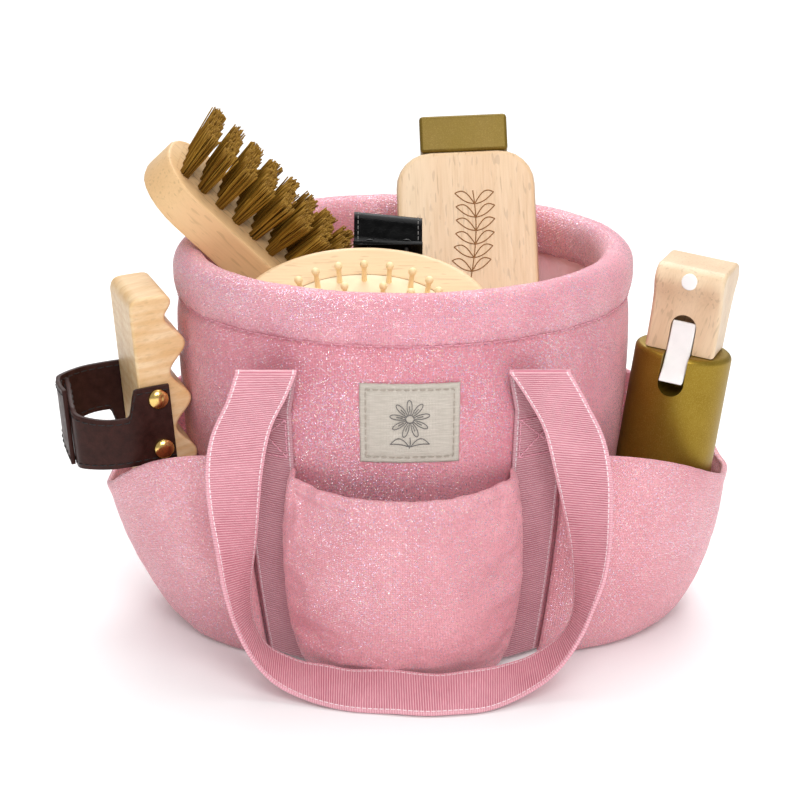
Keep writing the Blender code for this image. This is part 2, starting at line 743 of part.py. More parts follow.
def make_bristles(place, half_along, half_across, surface):
    """Three-sided strands that rise from the face of their slice as one closed body."""
    outline = rounded_outline(half_along, half_across, 0.005, 3)
    points = [Vector((x, y)) for x, y in outline]
    rim = len(points)
    edges = [(i, (i + 1) % rim) for i in range(rim)]
    tips = []
    for base, tip, angle in tuft_strands():
        start = len(points)
        for corner in range(3):
            turn = angle + math.tau * corner / 3
            step = Vector((math.cos(turn), math.sin(turn))) * STRAND_RADIUS
            points.append(base.xy + step)
            tips.append(tip + step.to_3d())
        edges += [(start, start + 1), (start + 1, start + 2), (start + 2, start)]
    skin = delaunay_2d_cdt(points, edges, [], 1, 0.0)
    source = {}
    for new, olds in enumerate(skin[3]):
        for old in olds:
            source[new] = old
    verts = [p.to_3d() for p in points]
    top = len(verts)
    verts += tips
    below = len(verts)
    verts += [Vector((x, y, -SLICE_THICKNESS)) for x, y in outline]
    faces = []
    for face in skin[2]:
        old = [source[i] for i in face]
        strand_of = {(i - rim) // 3 if i >= rim else -1 - i for i in old}
        if len(strand_of) > 1:
            faces.append(old)
    for start in range(rim, top, 3):
        lift = top - rim
        for corner in range(3):
            a = start + corner
            b = start + (corner + 1) % 3
            faces.append((a, b, b + lift, a + lift))
        faces.append((start + lift, start + 1 + lift, start + 2 + lift))
    for i in range(rim):
        j = (i + 1) % rim
        faces.append((below + i, below + j, j, i))
    faces.append(tuple(below + i for i in reversed(range(rim))))
    bristles = add_object("bristles", mesh_from("bristles", verts, faces), "bristle", place)
    bristles.location = (TUFT_FIELD_SHIFT, 0.0, surface)


# Pin brush
def palm_strap_edge():
    """How far from the block's middle the strap's own middle passes the block's sides."""
    widest = max(PALM_STRAP_X - PALM_STRAP_WIDTH / 2, 0.0) / PIN_BLOCK_HALF_LENGTH
    return PIN_BLOCK_HALF_WIDTH * math.sqrt(1 - widest ** 2) + GAP + PALM_STRAP_THICKNESS / 2


def palm_strap_route():
    """Section of the palm strap round the block's back, from the far side to the near side."""
    edge = palm_strap_edge()
    back = -PIN_BLOCK_THICKNESS / 2
    deep = back - PALM_STRAP_DEPTH
    out = edge + PALM_STRAP_BULGE
    stations = (
        (edge + 0.0004, 0.0070),
        (edge + 0.0005, 0.0035),
        (edge + 0.0010, 0.0000),
        (edge + PALM_STRAP_BULGE * 0.45, -0.0040),
        (out - 0.0015, 0.0005),
        (out, -0.0065),
        (out - 0.0055, back - 0.0090),
        (edge * 0.85, deep + 0.0060),
        (edge * 0.30, deep),
        (-edge * 0.30, deep),
        (-edge * 0.72, deep + 0.0080),
        (-edge - 0.0010, back - 0.004),
        (-edge - 0.0008, -0.0040),
        (-edge - 0.0004, 0.0070),
    )
    return smooth_route(stations, 33)


def make_pin_brush():
    turn = Matrix.Rotation(math.radians(PIN_BLOCK_TILT), 3, "X")
    route = palm_strap_route()
    low = [(0.0, y, z) for y, z in route]
    height = seat_on_bed(turn, low) + PALM_STRAP_THICKNESS / 2
    centre = Vector((PIN_BLOCK_X, PIN_BLOCK_Y, height))
    place = add_empty("pin_brush_place", Matrix.Translation(centre) @ turn.to_4x4())
    outline = oval_outline(PIN_BLOCK_HALF_LENGTH, PIN_BLOCK_HALF_WIDTH)
    wood = plate("pin_brush_block", outline, PIN_BLOCK_THICKNESS, "pale_wood", place, PIN_BLOCK_BEVEL)
    half_x = PIN_BLOCK_HALF_LENGTH - PAD_MARGIN
    half_y = PIN_BLOCK_HALF_WIDTH - PAD_MARGIN
    recess = plate("pad_recess", oval_outline(half_x + GAP, half_y + GAP, 28), 2 * (PAD_DEPTH + GAP),
                   "pale_wood", place)
    recess.location = (0.0, 0.0, PIN_BLOCK_THICKNESS / 2)
    cut(wood, recess)
    make_pin_pad(place, half_x, half_y)
    rows = []
    for y, z in route:
        rows.append([(PALM_STRAP_X + PALM_STRAP_WIDTH / 2 * side, y, z) for side in (-1, 0, 1)])
    strap = grid_surface("palm_strap", rows, "black_leather", PALM_STRAP_THICKNESS, 0, parent=place)
    make_tacks(place, wood, strap)


def pin_places(half_x, half_y):
    places = []
    rows = int(half_y / PIN_PITCH)
    for row in range(-rows, rows + 1):
        shift = 0.5 * (row % 2)
        for column in range(-6, 7):
            x = (column + shift) * PIN_PITCH
            y = row * PIN_PITCH * 0.92
            if (x / (half_x - 0.0035)) ** 2 + (y / (half_y - 0.0035)) ** 2 <= 1:
                places.append((x, y))
    return places


def make_pin_pad(place, half_x, half_y):
    """A pad with turned pins, each with a ball end, as one closed body."""
    outline = oval_outline(half_x, half_y, 28)
    points = [Vector(p) for p in outline]
    rim = len(points)
    edges = [(i, (i + 1) % rim) for i in range(rim)]
    pins = pin_places(half_x, half_y)
    for x, y in pins:
        start = len(points)
        for k in range(PIN_SIDES):
            angle = math.tau * k / PIN_SIDES
            points.append(Vector((x + PIN_RADIUS * math.cos(angle), y + PIN_RADIUS * math.sin(angle))))
        edges += [(start + k, start + (k + 1) % PIN_SIDES) for k in range(PIN_SIDES)]
    skin = delaunay_2d_cdt(points, edges, [], 1, 0.0)
    source = {}
    for new, olds in enumerate(skin[3]):
        for old in olds:
            source[new] = old

    def crown(x, y):
        return PAD_CROWN * (1 - (x / half_x) ** 2 - (y / half_y) ** 2)

    verts = [Vector((p.x, p.y, crown(p.x, p.y))) for p in points]
    faces = []
    for face in skin[2]:
        old = [source[i] for i in face]
        if len({(i - rim) // PIN_SIDES if i >= rim else -1 - i for i in old}) > 1:
            faces.append(old)
    rings = ((PIN_LENGTH - 2 * PIN_BALL_RADIUS, 0.75), (PIN_LENGTH - PIN_BALL_RADIUS, 1.64),
             (PIN_LENGTH - 0.25 * PIN_BALL_RADIUS, 1.05))
    for number, (x, y) in enumerate(pins):
        lower = [rim + number * PIN_SIDES + k for k in range(PIN_SIDES)]
        for height, swell in rings:
            upper = []
            for k in range(PIN_SIDES):
                angle = math.tau * k / PIN_SIDES
                reach = PIN_RADIUS * swell
                upper.append(len(verts))
                verts.append(Vector((x * 1.06 + reach * math.cos(angle),
                                     y * 1.06 + reach * math.sin(angle), crown(x, y) + height)))
            for k in range(PIN_SIDES):
                m = (k + 1) % PIN_SIDES
                faces.append((lower[k], lower[m], upper[m], upper[k]))
            lower = upper
        faces.append(tuple(lower))
    below = len(verts)
    verts += [Vector((x, y, -PAD_DEPTH)) for x, y in outline]
    for i in range(rim):
        j = (i + 1) % rim
        faces.append((below + i, below + j, j, i))
    faces.append(tuple(below + i for i in reversed(range(rim))))
    pad = add_object("pin_pad", mesh_from("pin_pad", verts, faces), "cream_pad", place, smooth=40)
    pad.location = (0.0, 0.0, PIN_BLOCK_THICKNESS / 2)


def nails(name, places, head_radius, shank_radius, length, parent):
    """Domed nails, the shank of each along its own -Z axis."""
    for number, matrix in enumerate(places, 1):
        nail = turned(f"{name}_{number}", [
            (0.0, head_radius * 0.58),
            (head_radius * 0.42, head_radius * 0.52),
            (head_radius * 0.80, head_radius * 0.34),
            (head_radius, 0.0),
            (shank_radius, 0.0),
            (shank_radius, -length),
            (0.0, -length),
        ], "brass", parent, steps=12)
        nail.matrix_local = matrix


def drill(pieces, places, radius, length, parent):
    """Bores on the nails' axes through each piece."""
    for matrix in places:
        bore = cylinder("nail_bore", radius, 2 * length, "brass", parent, 12)
        bore.matrix_local = matrix
        for piece in pieces:
            cut(piece, bore)


def facing(direction, point):
    """A frame at a point whose Z axis is the direction."""
    turn = Vector(direction).to_track_quat("Z", "X").to_matrix().to_4x4()
    return Matrix.Translation(point) @ turn


def make_tacks(place, wood, strap):
    seat = palm_strap_edge() + PALM_STRAP_THICKNESS / 2 + 0.0013
    places = []
    for side in (-1, 1):
        for shift in (-TACK_SPACING / 2, TACK_SPACING / 2):
            places.append(facing((0, side, 0), Vector((PALM_STRAP_X + shift, side * seat, 0.0042))))
    nails("strap_tack", places, TACK_HEAD_RADIUS, TACK_SHANK_RADIUS, TACK_LENGTH, place)
    drill((wood, strap), places, TACK_SHANK_RADIUS + GAP, TACK_LENGTH + GAP, place)


# Flat bottle
def bottle_outline():
    half = BOTTLE_WIDTH / 2
    points = []
    for centre_x, centre_z, radius, start in (
        (half - BOTTLE_FOOT_RADIUS, BOTTLE_FOOT_RADIUS, BOTTLE_FOOT_RADIUS, -90),
        (half - BOTTLE_SHOULDER, BOTTLE_LENGTH - BOTTLE_SHOULDER, BOTTLE_SHOULDER, 0),
        (-half + BOTTLE_SHOULDER, BOTTLE_LENGTH - BOTTLE_SHOULDER, BOTTLE_SHOULDER, 90),
        (-half + BOTTLE_FOOT_RADIUS, BOTTLE_FOOT_RADIUS, BOTTLE_FOOT_RADIUS, 180),
    ):
        steps = 6 if radius > BOTTLE_FOOT_RADIUS else 3
        for i in range(steps + 1):
            angle = math.radians(start + 90 * i / steps)
            points.append((centre_x + radius * math.cos(angle), centre_z + radius * math.sin(angle)))
    return points


def make_bottle():
    turn = (Matrix.Rotation(math.radians(-BOTTLE_TILT), 3, "Y")
            @ Matrix.Rotation(math.radians(-BOTTLE_LEAN), 3, "X"))
    across, back, up = turn.col[0], turn.col[1], turn.col[2]
    outline = bottle_outline()
    half_depth = BOTTLE_DEPTH / 2
    support = -rim_support(-back, across, BOTTLE_X, BOTTLE_WIDTH / 2, Vector((0, 1, 0)))
    foot = across * BOTTLE_X + back * (support - GAP - half_depth)
    height = seat_on_bed(turn, [(x, half_depth, z) for x, z in outline])
    foot = foot + up * (height - foot.z) / up.z
    place = add_empty("bottle_place", Matrix.Translation(foot) @ turn.to_4x4())
    body = plate("bottle_body", outline, BOTTLE_DEPTH, "pale_wood", place, BOTTLE_BEVEL, plane="XZ")
    cap = block("bottle_cap", (CAP_WIDTH, CAP_DEPTH, CAP_HEIGHT), "gold_paint", place)
    cap.location = (0.0, 0.0, BOTTLE_LENGTH + GAP + CAP_HEIGHT / 2)
    soften(cap, CAP_BEVEL)
    dowel_joint("bottle", body, cap, (0.0, 0.0, BOTTLE_LENGTH), place)


def dowel_joint(name, lower, upper, spot, place):
    """A dowel across a joint, and the blind bores that it sits in."""
    dowel = cylinder(name + "_dowel", DOWEL_RADIUS, DOWEL_LENGTH, "pale_wood", place, 12)
    dowel.location = spot
    bore = cylinder(name + "_dowel_bore", DOWEL_RADIUS + GAP, DOWEL_LENGTH + 2 * GAP, "pale_wood",
                    place, 12)
    bore.location = spot
    cut(lower, bore)
    cut(upper, bore)


# Curry comb
def comb_outline():
    """Side view of the comb: a straight back at x = 0 and a waved face towards +x."""
    mean = (COMB_CREST + COMB_TROUGH) / 2
    swing = (COMB_CREST - COMB_TROUGH) / 2
    first = COMB_LENGTH - COMB_FIRST_CREST
    start = first + COMB_PITCH * 0.58
    points = [(0.0, 0.0)]
    samples = 6 * COMB_CRESTS + 3
    bottom = first - COMB_PITCH * (COMB_CRESTS - 0.5)
    points.append((COMB_TROUGH, 0.0))
    for i in range(samples + 1):
        z = bottom + (start - bottom) * i / samples
        wave = math.cos(math.tau * (z - first) / COMB_PITCH)
        points.append((mean + swing * wave, z))
    points.append((COMB_TOP_THICKNESS, start + 0.009))
    points.append((COMB_TOP_THICKNESS, COMB_LENGTH - 0.004))
    points.append((COMB_TOP_THICKNESS - 0.003, COMB_LENGTH))
    points.append((0.0, COMB_LENGTH))
    return points


def outside(z):
    """Outside radius of the bag at a height, its rim included."""
    return wall_radius(z) if z < BODY_HEIGHT else COLLAR_OUTER


def settle_in_pocket(place, tool, pocket, side):
    """Stand a tool against the bag's wall, as far down its pocket as it goes."""
    turn = place.matrix_world.to_3x3()
    offset = place.matrix_world.translation.y
    bpy.context.view_layer.update()
    graph = bpy.context.evaluated_depsgraph_get()
    mesh = tool.evaluated_get(graph).data
    points = [turn @ v.co for v in mesh.vertices]
    faces = [tuple(f.vertices) for f in mesh.polygons]
    skin = pocket.evaluated_get(graph).data
    fabric = BVHTree.FromPolygons([v.co.copy() for v in skin.vertices],
                                  [tuple(f.vertices) for f in skin.polygons])
    lowest = min(p.z for p in points)
    for step in range(200):
        height = SEAT_SEARCH_TOP - SEAT_STEP * step - lowest
        shift = 0.0
        for p in points:
            y = p.y + offset
            reach = math.sqrt(max((outside(p.z + height) + SOFT_GAP) ** 2 - y ** 2, 0.0))
            shift = max(shift, reach - side * p.x)
        spot = Vector((side * shift, offset, height))
        if BVHTree.FromPolygons([p + spot for p in points], faces).overlap(fabric):
            break
        seat = spot
    place.matrix_world = Matrix.Translation(seat) @ turn.to_4x4()
    bpy.context.view_layer.update()


def make_comb():
    turn = (Matrix.Rotation(math.radians(COMB_YAW), 4, "Z")
            @ Matrix.Rotation(math.radians(-COMB_TILT), 4, "Y"))
    place = add_empty("comb_place", Matrix.Translation((0.0, COMB_SIDE, 0.0)) @ turn)
    wood = plate("comb_block", comb_outline(), COMB_DEPTH, "pale_wood", place, COMB_BEVEL, 1,
                 plane="XZ")
    settle_in_pocket(place, wood, bpy.data.objects["left_pocket"], -1)
    make_comb_strap(place, wood)


def strap_ribbon(name, route, place):
    rows = []
    for z in (-0.5, 0.0, 0.5):
        rows.append([(x, y, HAND_STRAP_HEIGHT + z * HAND_STRAP_WIDTH) for x, y in route])
    return grid_surface(name, rows, "brown_leather", HAND_STRAP_THICKNESS, 0, parent=place)


def make_comb_strap(place, wood):
    """Two strap halves riveted to the comb's sides that overlap behind the hand."""
    clear = GAP + HAND_STRAP_THICKNESS / 2
    edge = COMB_DEPTH / 2 + clear
    far = -HAND_STRAP_REACH
    lap = HAND_STRAP_THICKNESS + GAP
    near_stations = (
        (COMB_TROUGH - 0.002, -edge),
        (0.0060, -edge),
        (-0.0060, -edge - 0.0008),
        (far * 0.62, -edge + 0.0010),
        (far * 0.96, -edge + 0.0080),
        (far, -edge * 0.35),
        (far + 0.0012, edge * 0.10),
        (far + 0.0020, edge * 0.42),
    )
    far_stations = (
        (COMB_TROUGH - 0.002, edge),
        (0.0060, edge),
        (-0.0060, edge + 0.0008),
        (far * 0.62, edge - 0.0005),
        (far * 0.98, edge - 0.0070),
        (far - lap + 0.0004, edge * 0.42),
        (far - lap - 0.0004, edge * 0.05),
        (far - lap, -edge * 0.35),
    )
    near = strap_ribbon("comb_strap_near", smooth_route(near_stations, 21)[::-1], place)
    distant = strap_ribbon("comb_strap_far", smooth_route(far_stations, 21), place)
    places = []
    seat = edge + HAND_STRAP_THICKNESS / 2 + GAP
    for side in (-1, 1):
        for shift in (-RIVET_SPACING / 2, RIVET_SPACING / 2):
            point = Vector((COMB_TROUGH * 0.52, side * seat, HAND_STRAP_HEIGHT + shift))
            places.append(facing((0, side, 0), point))
    nails("comb_rivet", places, RIVET_HEAD_RADIUS, RIVET_SHANK_RADIUS, RIVET_LENGTH, place)
    bore_radius = RIVET_SHANK_RADIUS + GAP
    drill((wood, near), places[:2], bore_radius, RIVET_LENGTH + GAP, place)
    drill((wood, distant), places[2:], bore_radius, RIVET_LENGTH + GAP, place)


# Spray bottle
def head_profile():
    """Side view of the spray head, front towards -y: a cove under a round brow, and a sloping back.

    The points are shares of the head's height.
    """
    shares = [(-0.338, 0.0), (0.277, 0.0), (0.308, 0.308), (0.379, 0.590)]
    for i in range(4):
        angle = math.radians(-4 + 90 * i / 3)
        shares.append((0.287 + 0.205 * math.cos(angle), 0.795 + 0.205 * math.sin(angle)))
    for i in range(4):
        angle = math.radians(96 + 102 * i / 3)
        shares.append((-0.359 + 0.159 * math.cos(angle), 0.841 + 0.159 * math.sin(angle)))
    shares += [(-0.405, 0.615), (-0.359, 0.436), (-0.341, 0.231)]
    return [(y * HEAD_HEIGHT, z * HEAD_HEIGHT) for y, z in shares]


def arch_outline(width, bottom, top):
    """A slot outline with a half-round top."""
    half = width / 2
    points = [(-half, bottom), (half, bottom)]
    for i in range(9):
        angle = math.radians(180 * i / 8)
        points.append((half * math.cos(angle), top - half + half * math.sin(angle)))
    return points


def make_spray_bottle():
    turn = (Matrix.Rotation(math.radians(SPRAY_TILT), 4, "Y")
            @ Matrix.Rotation(math.radians(SPRAY_YAW), 4, "Z"))
    place = add_empty("spray_bottle_place", Matrix.Translation((0.0, SPRAY_Y, 0.0)) @ turn)
    body = turned("spray_body", [
        (0.0, SPRAY_LENGTH), (SPRAY_RADIUS - SPRAY_EDGE, SPRAY_LENGTH),
        (SPRAY_RADIUS - SPRAY_EDGE * 0.3, SPRAY_LENGTH - SPRAY_EDGE * 0.3),
        (SPRAY_RADIUS, SPRAY_LENGTH - SPRAY_EDGE), (SPRAY_RADIUS, SPRAY_EDGE * 0.5),
        (SPRAY_RADIUS - SPRAY_EDGE * 0.5, 0.0), (0.0, 0.0),
    ], "gold_paint", place, steps=32)
    settle_in_pocket(place, body, bpy.data.objects["right_pocket"], 1)
    head_z = SPRAY_LENGTH + GAP
    head = plate("spray_head", head_profile(), HEAD_WIDTH, "pale_wood", place, HEAD_BEVEL, 2, plane="YZ")
    head.location = (0.0, 0.0, head_z)
    reach = 0.030
    slot_back = TRIGGER_PIN_Y + SPRING_RADIUS + SLOT_FLOOR
    slot = plate("trigger_slot", arch_outline(SLOT_WIDTH, -0.004, SLOT_HEIGHT), reach, "pale_wood",
                 place, plane="XZ")
    slot.location = (0.0, slot_back - reach / 2, head_z)
    foot = plate("trigger_notch", [(x, -z) for x, z in arch_outline(SLOT_WIDTH, -0.006, NOTCH_DEPTH)][::-1],
                 reach, "gold_paint", place, plane="XZ")
    foot.location = (0.0, slot_back - reach / 2, SPRAY_LENGTH)
    pin_bore = cylinder("trigger_pin_bore", TRIGGER_PIN_RADIUS + GAP, TRIGGER_PIN_LENGTH + 2 * GAP,
                        "steel", place, 12)
    pin_place = Vector((0.0, TRIGGER_PIN_Y, head_z + TRIGGER_PIN_Z))
    pin_bore.rotation_euler = Euler((0.0, math.radians(90), 0.0))
    pin_bore.location = pin_place
    nozzle_bore = cylinder("nozzle_bore", NOZZLE_RADIUS + GAP, 0.02, "white_plastic", place, 20)
    nozzle_bore.rotation_euler = Euler((math.radians(90), 0.0, 0.0))
    nozzle_face = -0.0198
    nozzle_bore.location = (0.0, nozzle_face + NOZZLE_DEPTH - 0.01, head_z + NOZZLE_HEIGHT)
    cut(head, slot, pin_bore, nozzle_bore)
    cut(body, foot)
    nozzle = cylinder("nozzle", NOZZLE_RADIUS, NOZZLE_DEPTH + NOZZLE_PROUD - GAP, "white_plastic",
                      place, 20)
    nozzle.rotation_euler = Euler((math.radians(90), 0.0, 0.0))
    nozzle.location = (0.0, nozzle_face + (NOZZLE_DEPTH - NOZZLE_PROUD - GAP) / 2,
                       head_z + NOZZLE_HEIGHT)
    dowel_joint("spray", body, head, (0.0, SPRAY_DOWEL_Y, SPRAY_LENGTH), place)
    pin = cylinder("trigger_pin", TRIGGER_PIN_RADIUS, TRIGGER_PIN_LENGTH, "steel", place, 12)
    pin.rotation_euler = Euler((0.0, math.radians(90), 0.0))
    pin.location = pin_place
    make_trigger(place, pin_place)


def make_trigger(place, pin_place):
    """The trigger on its pin, with room beside its hub for the torsion spring."""
    pivot = add_empty("trigger_pivot", place.matrix_world @ Matrix.Translation(pin_place), None)
    pivot.parent = place
    pivot.matrix_parent_inverse = place.matrix_world.inverted()
    hub = TRIGGER_PIN_RADIUS + GAP + 0.0012
    half = TRIGGER_THICKNESS / 2
    shares = ((-0.185, 0.185), (-0.222, -0.139), (-0.306, -0.440), (-0.444, -0.750), (-0.685, -1.0))
    stations = [(y * TRIGGER_REACH, z * TRIGGER_REACH) for y, z in shares]
    outline = []
    for i in range(7):
        angle = math.radians(-40 + 140 * i / 6)
        outline.append((hub * math.cos(angle), hub * math.sin(angle)))
    outline += [(y - half, z) for y, z in stations]
    outline += [(y + half, z) for y, z in reversed(stations[2:])]
    outline.append((stations[1][0] + half, stations[1][1] - 0.0015))
    trigger = plate("trigger", outline, TRIGGER_WIDTH, "white_plastic", pivot, 0.0004, 1,
                    plane="YZ")
    eye = cylinder("trigger_eye", TRIGGER_PIN_RADIUS + GAP, 2 * TRIGGER_WIDTH, "steel", pivot, 12)
    eye.rotation_euler = Euler((0.0, math.radians(90), 0.0))
    room_size = 2 * (SPRING_RADIUS + 2 * GAP)
    room = block("spring_room", (2 * (SPRING_WIDTH + 2 * GAP), room_size, room_size), "steel", pivot)
    room.location = (TRIGGER_WIDTH / 2, 0.0, 0.0)
    cut(trigger, eye, room)
    inner = TRIGGER_PIN_RADIUS + GAP
    half_width = SPRING_WIDTH / 2
    spring = turned("trigger_spring", [
        (SPRING_RADIUS, half_width), (SPRING_RADIUS, -half_width),
        (inner, -half_width), (inner, half_width),
    ], "steel", place, steps=16, closed=True)
    spring.rotation_euler = Euler((0.0, math.radians(90), 0.0))
    spring.location = pin_place + Vector((TRIGGER_WIDTH / 2 - half_width - GAP / 2, 0.0, 0.0))


clear_scene()
PARTS = new_collection("grooming_bag")
CUTTERS = new_collection("cutters")
make_body()
make_pockets()
make_webbing()
make_patch()
make_bristle_brush()
make_pin_brush()
make_bottle()
make_comb()
make_spray_bottle()
bpy.context.view_layer.update()
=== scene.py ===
import random
from math import copysign, cos, degrees, exp, pi, radians, sin, sqrt, tau

import bmesh
import bpy
from mathutils import Matrix, Vector, noise


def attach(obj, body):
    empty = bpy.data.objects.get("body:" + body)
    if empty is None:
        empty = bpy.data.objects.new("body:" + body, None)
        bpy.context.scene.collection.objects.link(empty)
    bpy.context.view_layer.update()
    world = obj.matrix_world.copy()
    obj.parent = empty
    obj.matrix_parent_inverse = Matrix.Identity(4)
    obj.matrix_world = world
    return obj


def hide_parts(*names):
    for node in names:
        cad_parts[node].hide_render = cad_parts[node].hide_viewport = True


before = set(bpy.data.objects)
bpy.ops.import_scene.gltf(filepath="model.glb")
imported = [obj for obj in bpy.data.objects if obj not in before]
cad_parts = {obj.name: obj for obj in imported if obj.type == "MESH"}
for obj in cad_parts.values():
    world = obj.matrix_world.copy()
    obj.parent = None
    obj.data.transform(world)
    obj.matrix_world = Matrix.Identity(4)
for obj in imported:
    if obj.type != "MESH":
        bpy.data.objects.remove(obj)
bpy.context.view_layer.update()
random.seed(11)

# Sizes repeated from the model, in metres and degrees
BODY_HEIGHT = 0.150
WALL_THICKNESS = 0.0073
BED_TOP = 0.108
TAPE_WIDTH = 0.025
TAPE_ANGLE = 34.5
HANDLE_AXIS_Y = 0.0966
HANDLE_AXIS_Z = 0.138
HANDLE_REACH = 0.056
POCKET_CORNER = 0.096

# Where each tool's own axes lie, as location and the turns about Z, Y and X in degrees
TOOLS = {
    "bristle_brush": ((-0.061594, 0.008402, 0.160756), (7.0, 44.5, 14.5)),
    "pin_brush": ((-0.0165, -0.045, 0.145489), (0.0, 0.0, 40.0)),
    "flat_bottle": ((0.031536, 0.027709, 0.114492), (0.0, -2.5, -24.0)),
    "curry_comb": ((-0.113192, -0.023, 0.034732), (17.0, -5.0, 0.0)),
}
SPRAY_SPOT, SPRAY_LEAN, SPRAY_YAW = (0.110309, -0.006, 0.026545), 8.4, -17.0


def spun(degrees, axis):
    return Matrix.Rotation(radians(degrees), 4, axis)


PLACES = {name: Matrix.Translation(spot) @ spun(yaw, "Z") @ spun(pitch, "Y") @ spun(roll, "X")
          for name, (spot, (yaw, pitch, roll)) in TOOLS.items()}
PLACES["spray_bottle"] = Matrix.Translation(SPRAY_SPOT) @ spun(SPRAY_LEAN, "Y") @ spun(SPRAY_YAW, "Z")


def wall_radius(z):
    rise = min(max(z / BODY_HEIGHT, 0.0), 1.0)
    return 0.082 + 0.018 * (1 - (1 - rise) ** 2.1)


def around(angle, radius, z):
    """A point round the bag, with the angle in degrees from the front."""
    turn = radians(angle)
    return Vector((radius * sin(turn), -radius * cos(turn), z))


def turned(u, radius_x, radius_y, z=0.0):
    """A point round a tool's own Z axis, with the share of a turn."""
    return Vector((radius_x * cos(tau * u), radius_y * sin(tau * u), z))


def arc(x, z, radius, angles):
    return [(x + radius * cos(radians(a)), z + radius * sin(radians(a))) for a in angles]


def wave(x, y=0.0, z=0.0):
    return noise.noise(Vector((x, y, z)))


def ring_wave(u, grain, height):
    """Noise that closes on itself round the bag."""
    return noise.noise(turned(u, grain, grain, height))


def bell(value, middle, width):
    return exp(-((value - middle) / width) ** 2)


def smooth_route(stations, count):
    """Evenly spaced rows on a Catmull-Rom curve through rows of numbers."""
    padded = [stations[0]] + list(stations) + [stations[-1]]
    spans = len(stations) - 1
    route = []
    for i in range(count + 1):
        place = spans * i / count
        span = min(int(place), spans - 1)
        t = place - span
        route.append([0.5 * (2 * q + (r - p) * t + (2 * p - 5 * q + 4 * r - s) * t ** 2
                             + (3 * q - p - 3 * r + s) * t ** 3)
                      for p, q, r, s in zip(*padded[span:span + 4])])
    return route


# Materials
class Finish:
    """A node material, with short calls for the nodes that vary it."""

    def __init__(self, name, colour, roughness, **values):
        self.material = bpy.data.materials.new(name)
        self.material.use_nodes = True
        self.tree = self.material.node_tree
        self.shader = self.tree.nodes["Principled BSDF"]
        self.put(self.shader, {"Base Color": (*colour, 1.0), "Roughness": roughness})
        self.finish(**values)

    def put(self, node, inputs):
        for key, value in inputs.items():
            socket = node.inputs[key]
            if isinstance(value, bpy.types.NodeSocket):
                self.tree.links.new(value, socket)
            else:
                socket.default_value = value
        return node

    def node(self, kind, inputs, **attributes):
        node = self.tree.nodes.new("ShaderNode" + kind)
        for key, value in attributes.items():
            setattr(node, key, value)
        return self.put(node, inputs)

    def coordinates(self, place=None, uv=False, scale=(1.0, 1.0, 1.0)):
        """UV or object coordinates, in the axes of a tool if its place is given."""
        source = self.node("TexCoord", {}).outputs["UV" if uv else "Object"]
        if place is not None:
            source = self.node("Mapping", {"Vector": source, "Location": place.translation,
                                           "Rotation": place.to_euler()},
                               vector_type="TEXTURE").outputs[0]
        return self.node("Mapping", {"Vector": source, "Scale": scale}).outputs[0]

    def noise(self, vector, scale, detail=3.0, roughness=0.5):
        return self.node("TexNoise", {"Vector": vector, "Scale": scale, "Detail": detail,
                                      "Roughness": roughness}).outputs["Fac"]

    def bands(self, vector, direction, scale, distortion, detail=2.0, detail_scale=1.0):
        return self.node("TexWave", {"Vector": vector, "Scale": scale, "Distortion": distortion,
                                     "Detail": detail, "Detail Scale": detail_scale},
                         bands_direction=direction).outputs["Fac"]

    def cells(self, vector, scale, **attributes):
        return self.node("TexVoronoi", {"Vector": vector, "Scale": scale}, **attributes).outputs

    def ramp(self, factor, *stops):
        node = self.node("ValToRGB", {"Fac": factor})
        elements = node.color_ramp.elements
        while len(elements) < len(stops):
            elements.new(0.5)
        for element, (position, colour) in zip(elements, stops):
            element.position = position
            element.color = (*colour, 1.0)
        return node.outputs["Color"]

    def maths(self, operation, a, b=0.0):
        return self.node("Math", {0: a, 1: b}, operation=operation).outputs[0]

    def times(self, a, b):
        return self.maths("MULTIPLY", a, b)

    def plus(self, a, b):
        return self.maths("ADD", a, b)

    def vector(self, operation, inputs):
        return self.node("VectorMath", inputs, operation=operation).outputs[0]

    def span(self, value, low, high, new_low=0.0, new_high=1.0):
        return self.node("MapRange", {"Value": value, "From Min": low, "From Max": high,
                                      "To Min": new_low, "To Max": new_high}).outputs[0]

    def mix(self, factor, a, b):
        node = self.node("Mix", {}, data_type="RGBA")
        a, b = (value if isinstance(value, bpy.types.NodeSocket) else (*value, 1.0) for value in (a, b))
        return self.put(node, {"Factor": factor, 6: a, 7: b}).outputs[2]

    def bump(self, height, distance, strength, **normal):
        return self.node("Bump", {"Height": height, "Distance": distance, "Strength": strength,
                                  **normal}).outputs[0]

    def fade(self, value, low, high, share, a, b):
        """From colour a towards b, by up to the share, as the value rises from low to high."""
        return self.mix(self.span(value, low, high, 0.0, share), a, b)

    def finish(self, **links):
        self.put(self.shader, {key.replace("_", " "): value for key, value in links.items()})
        return self.material


def shaded(colour, depth):
    return [c * depth for c in colour]


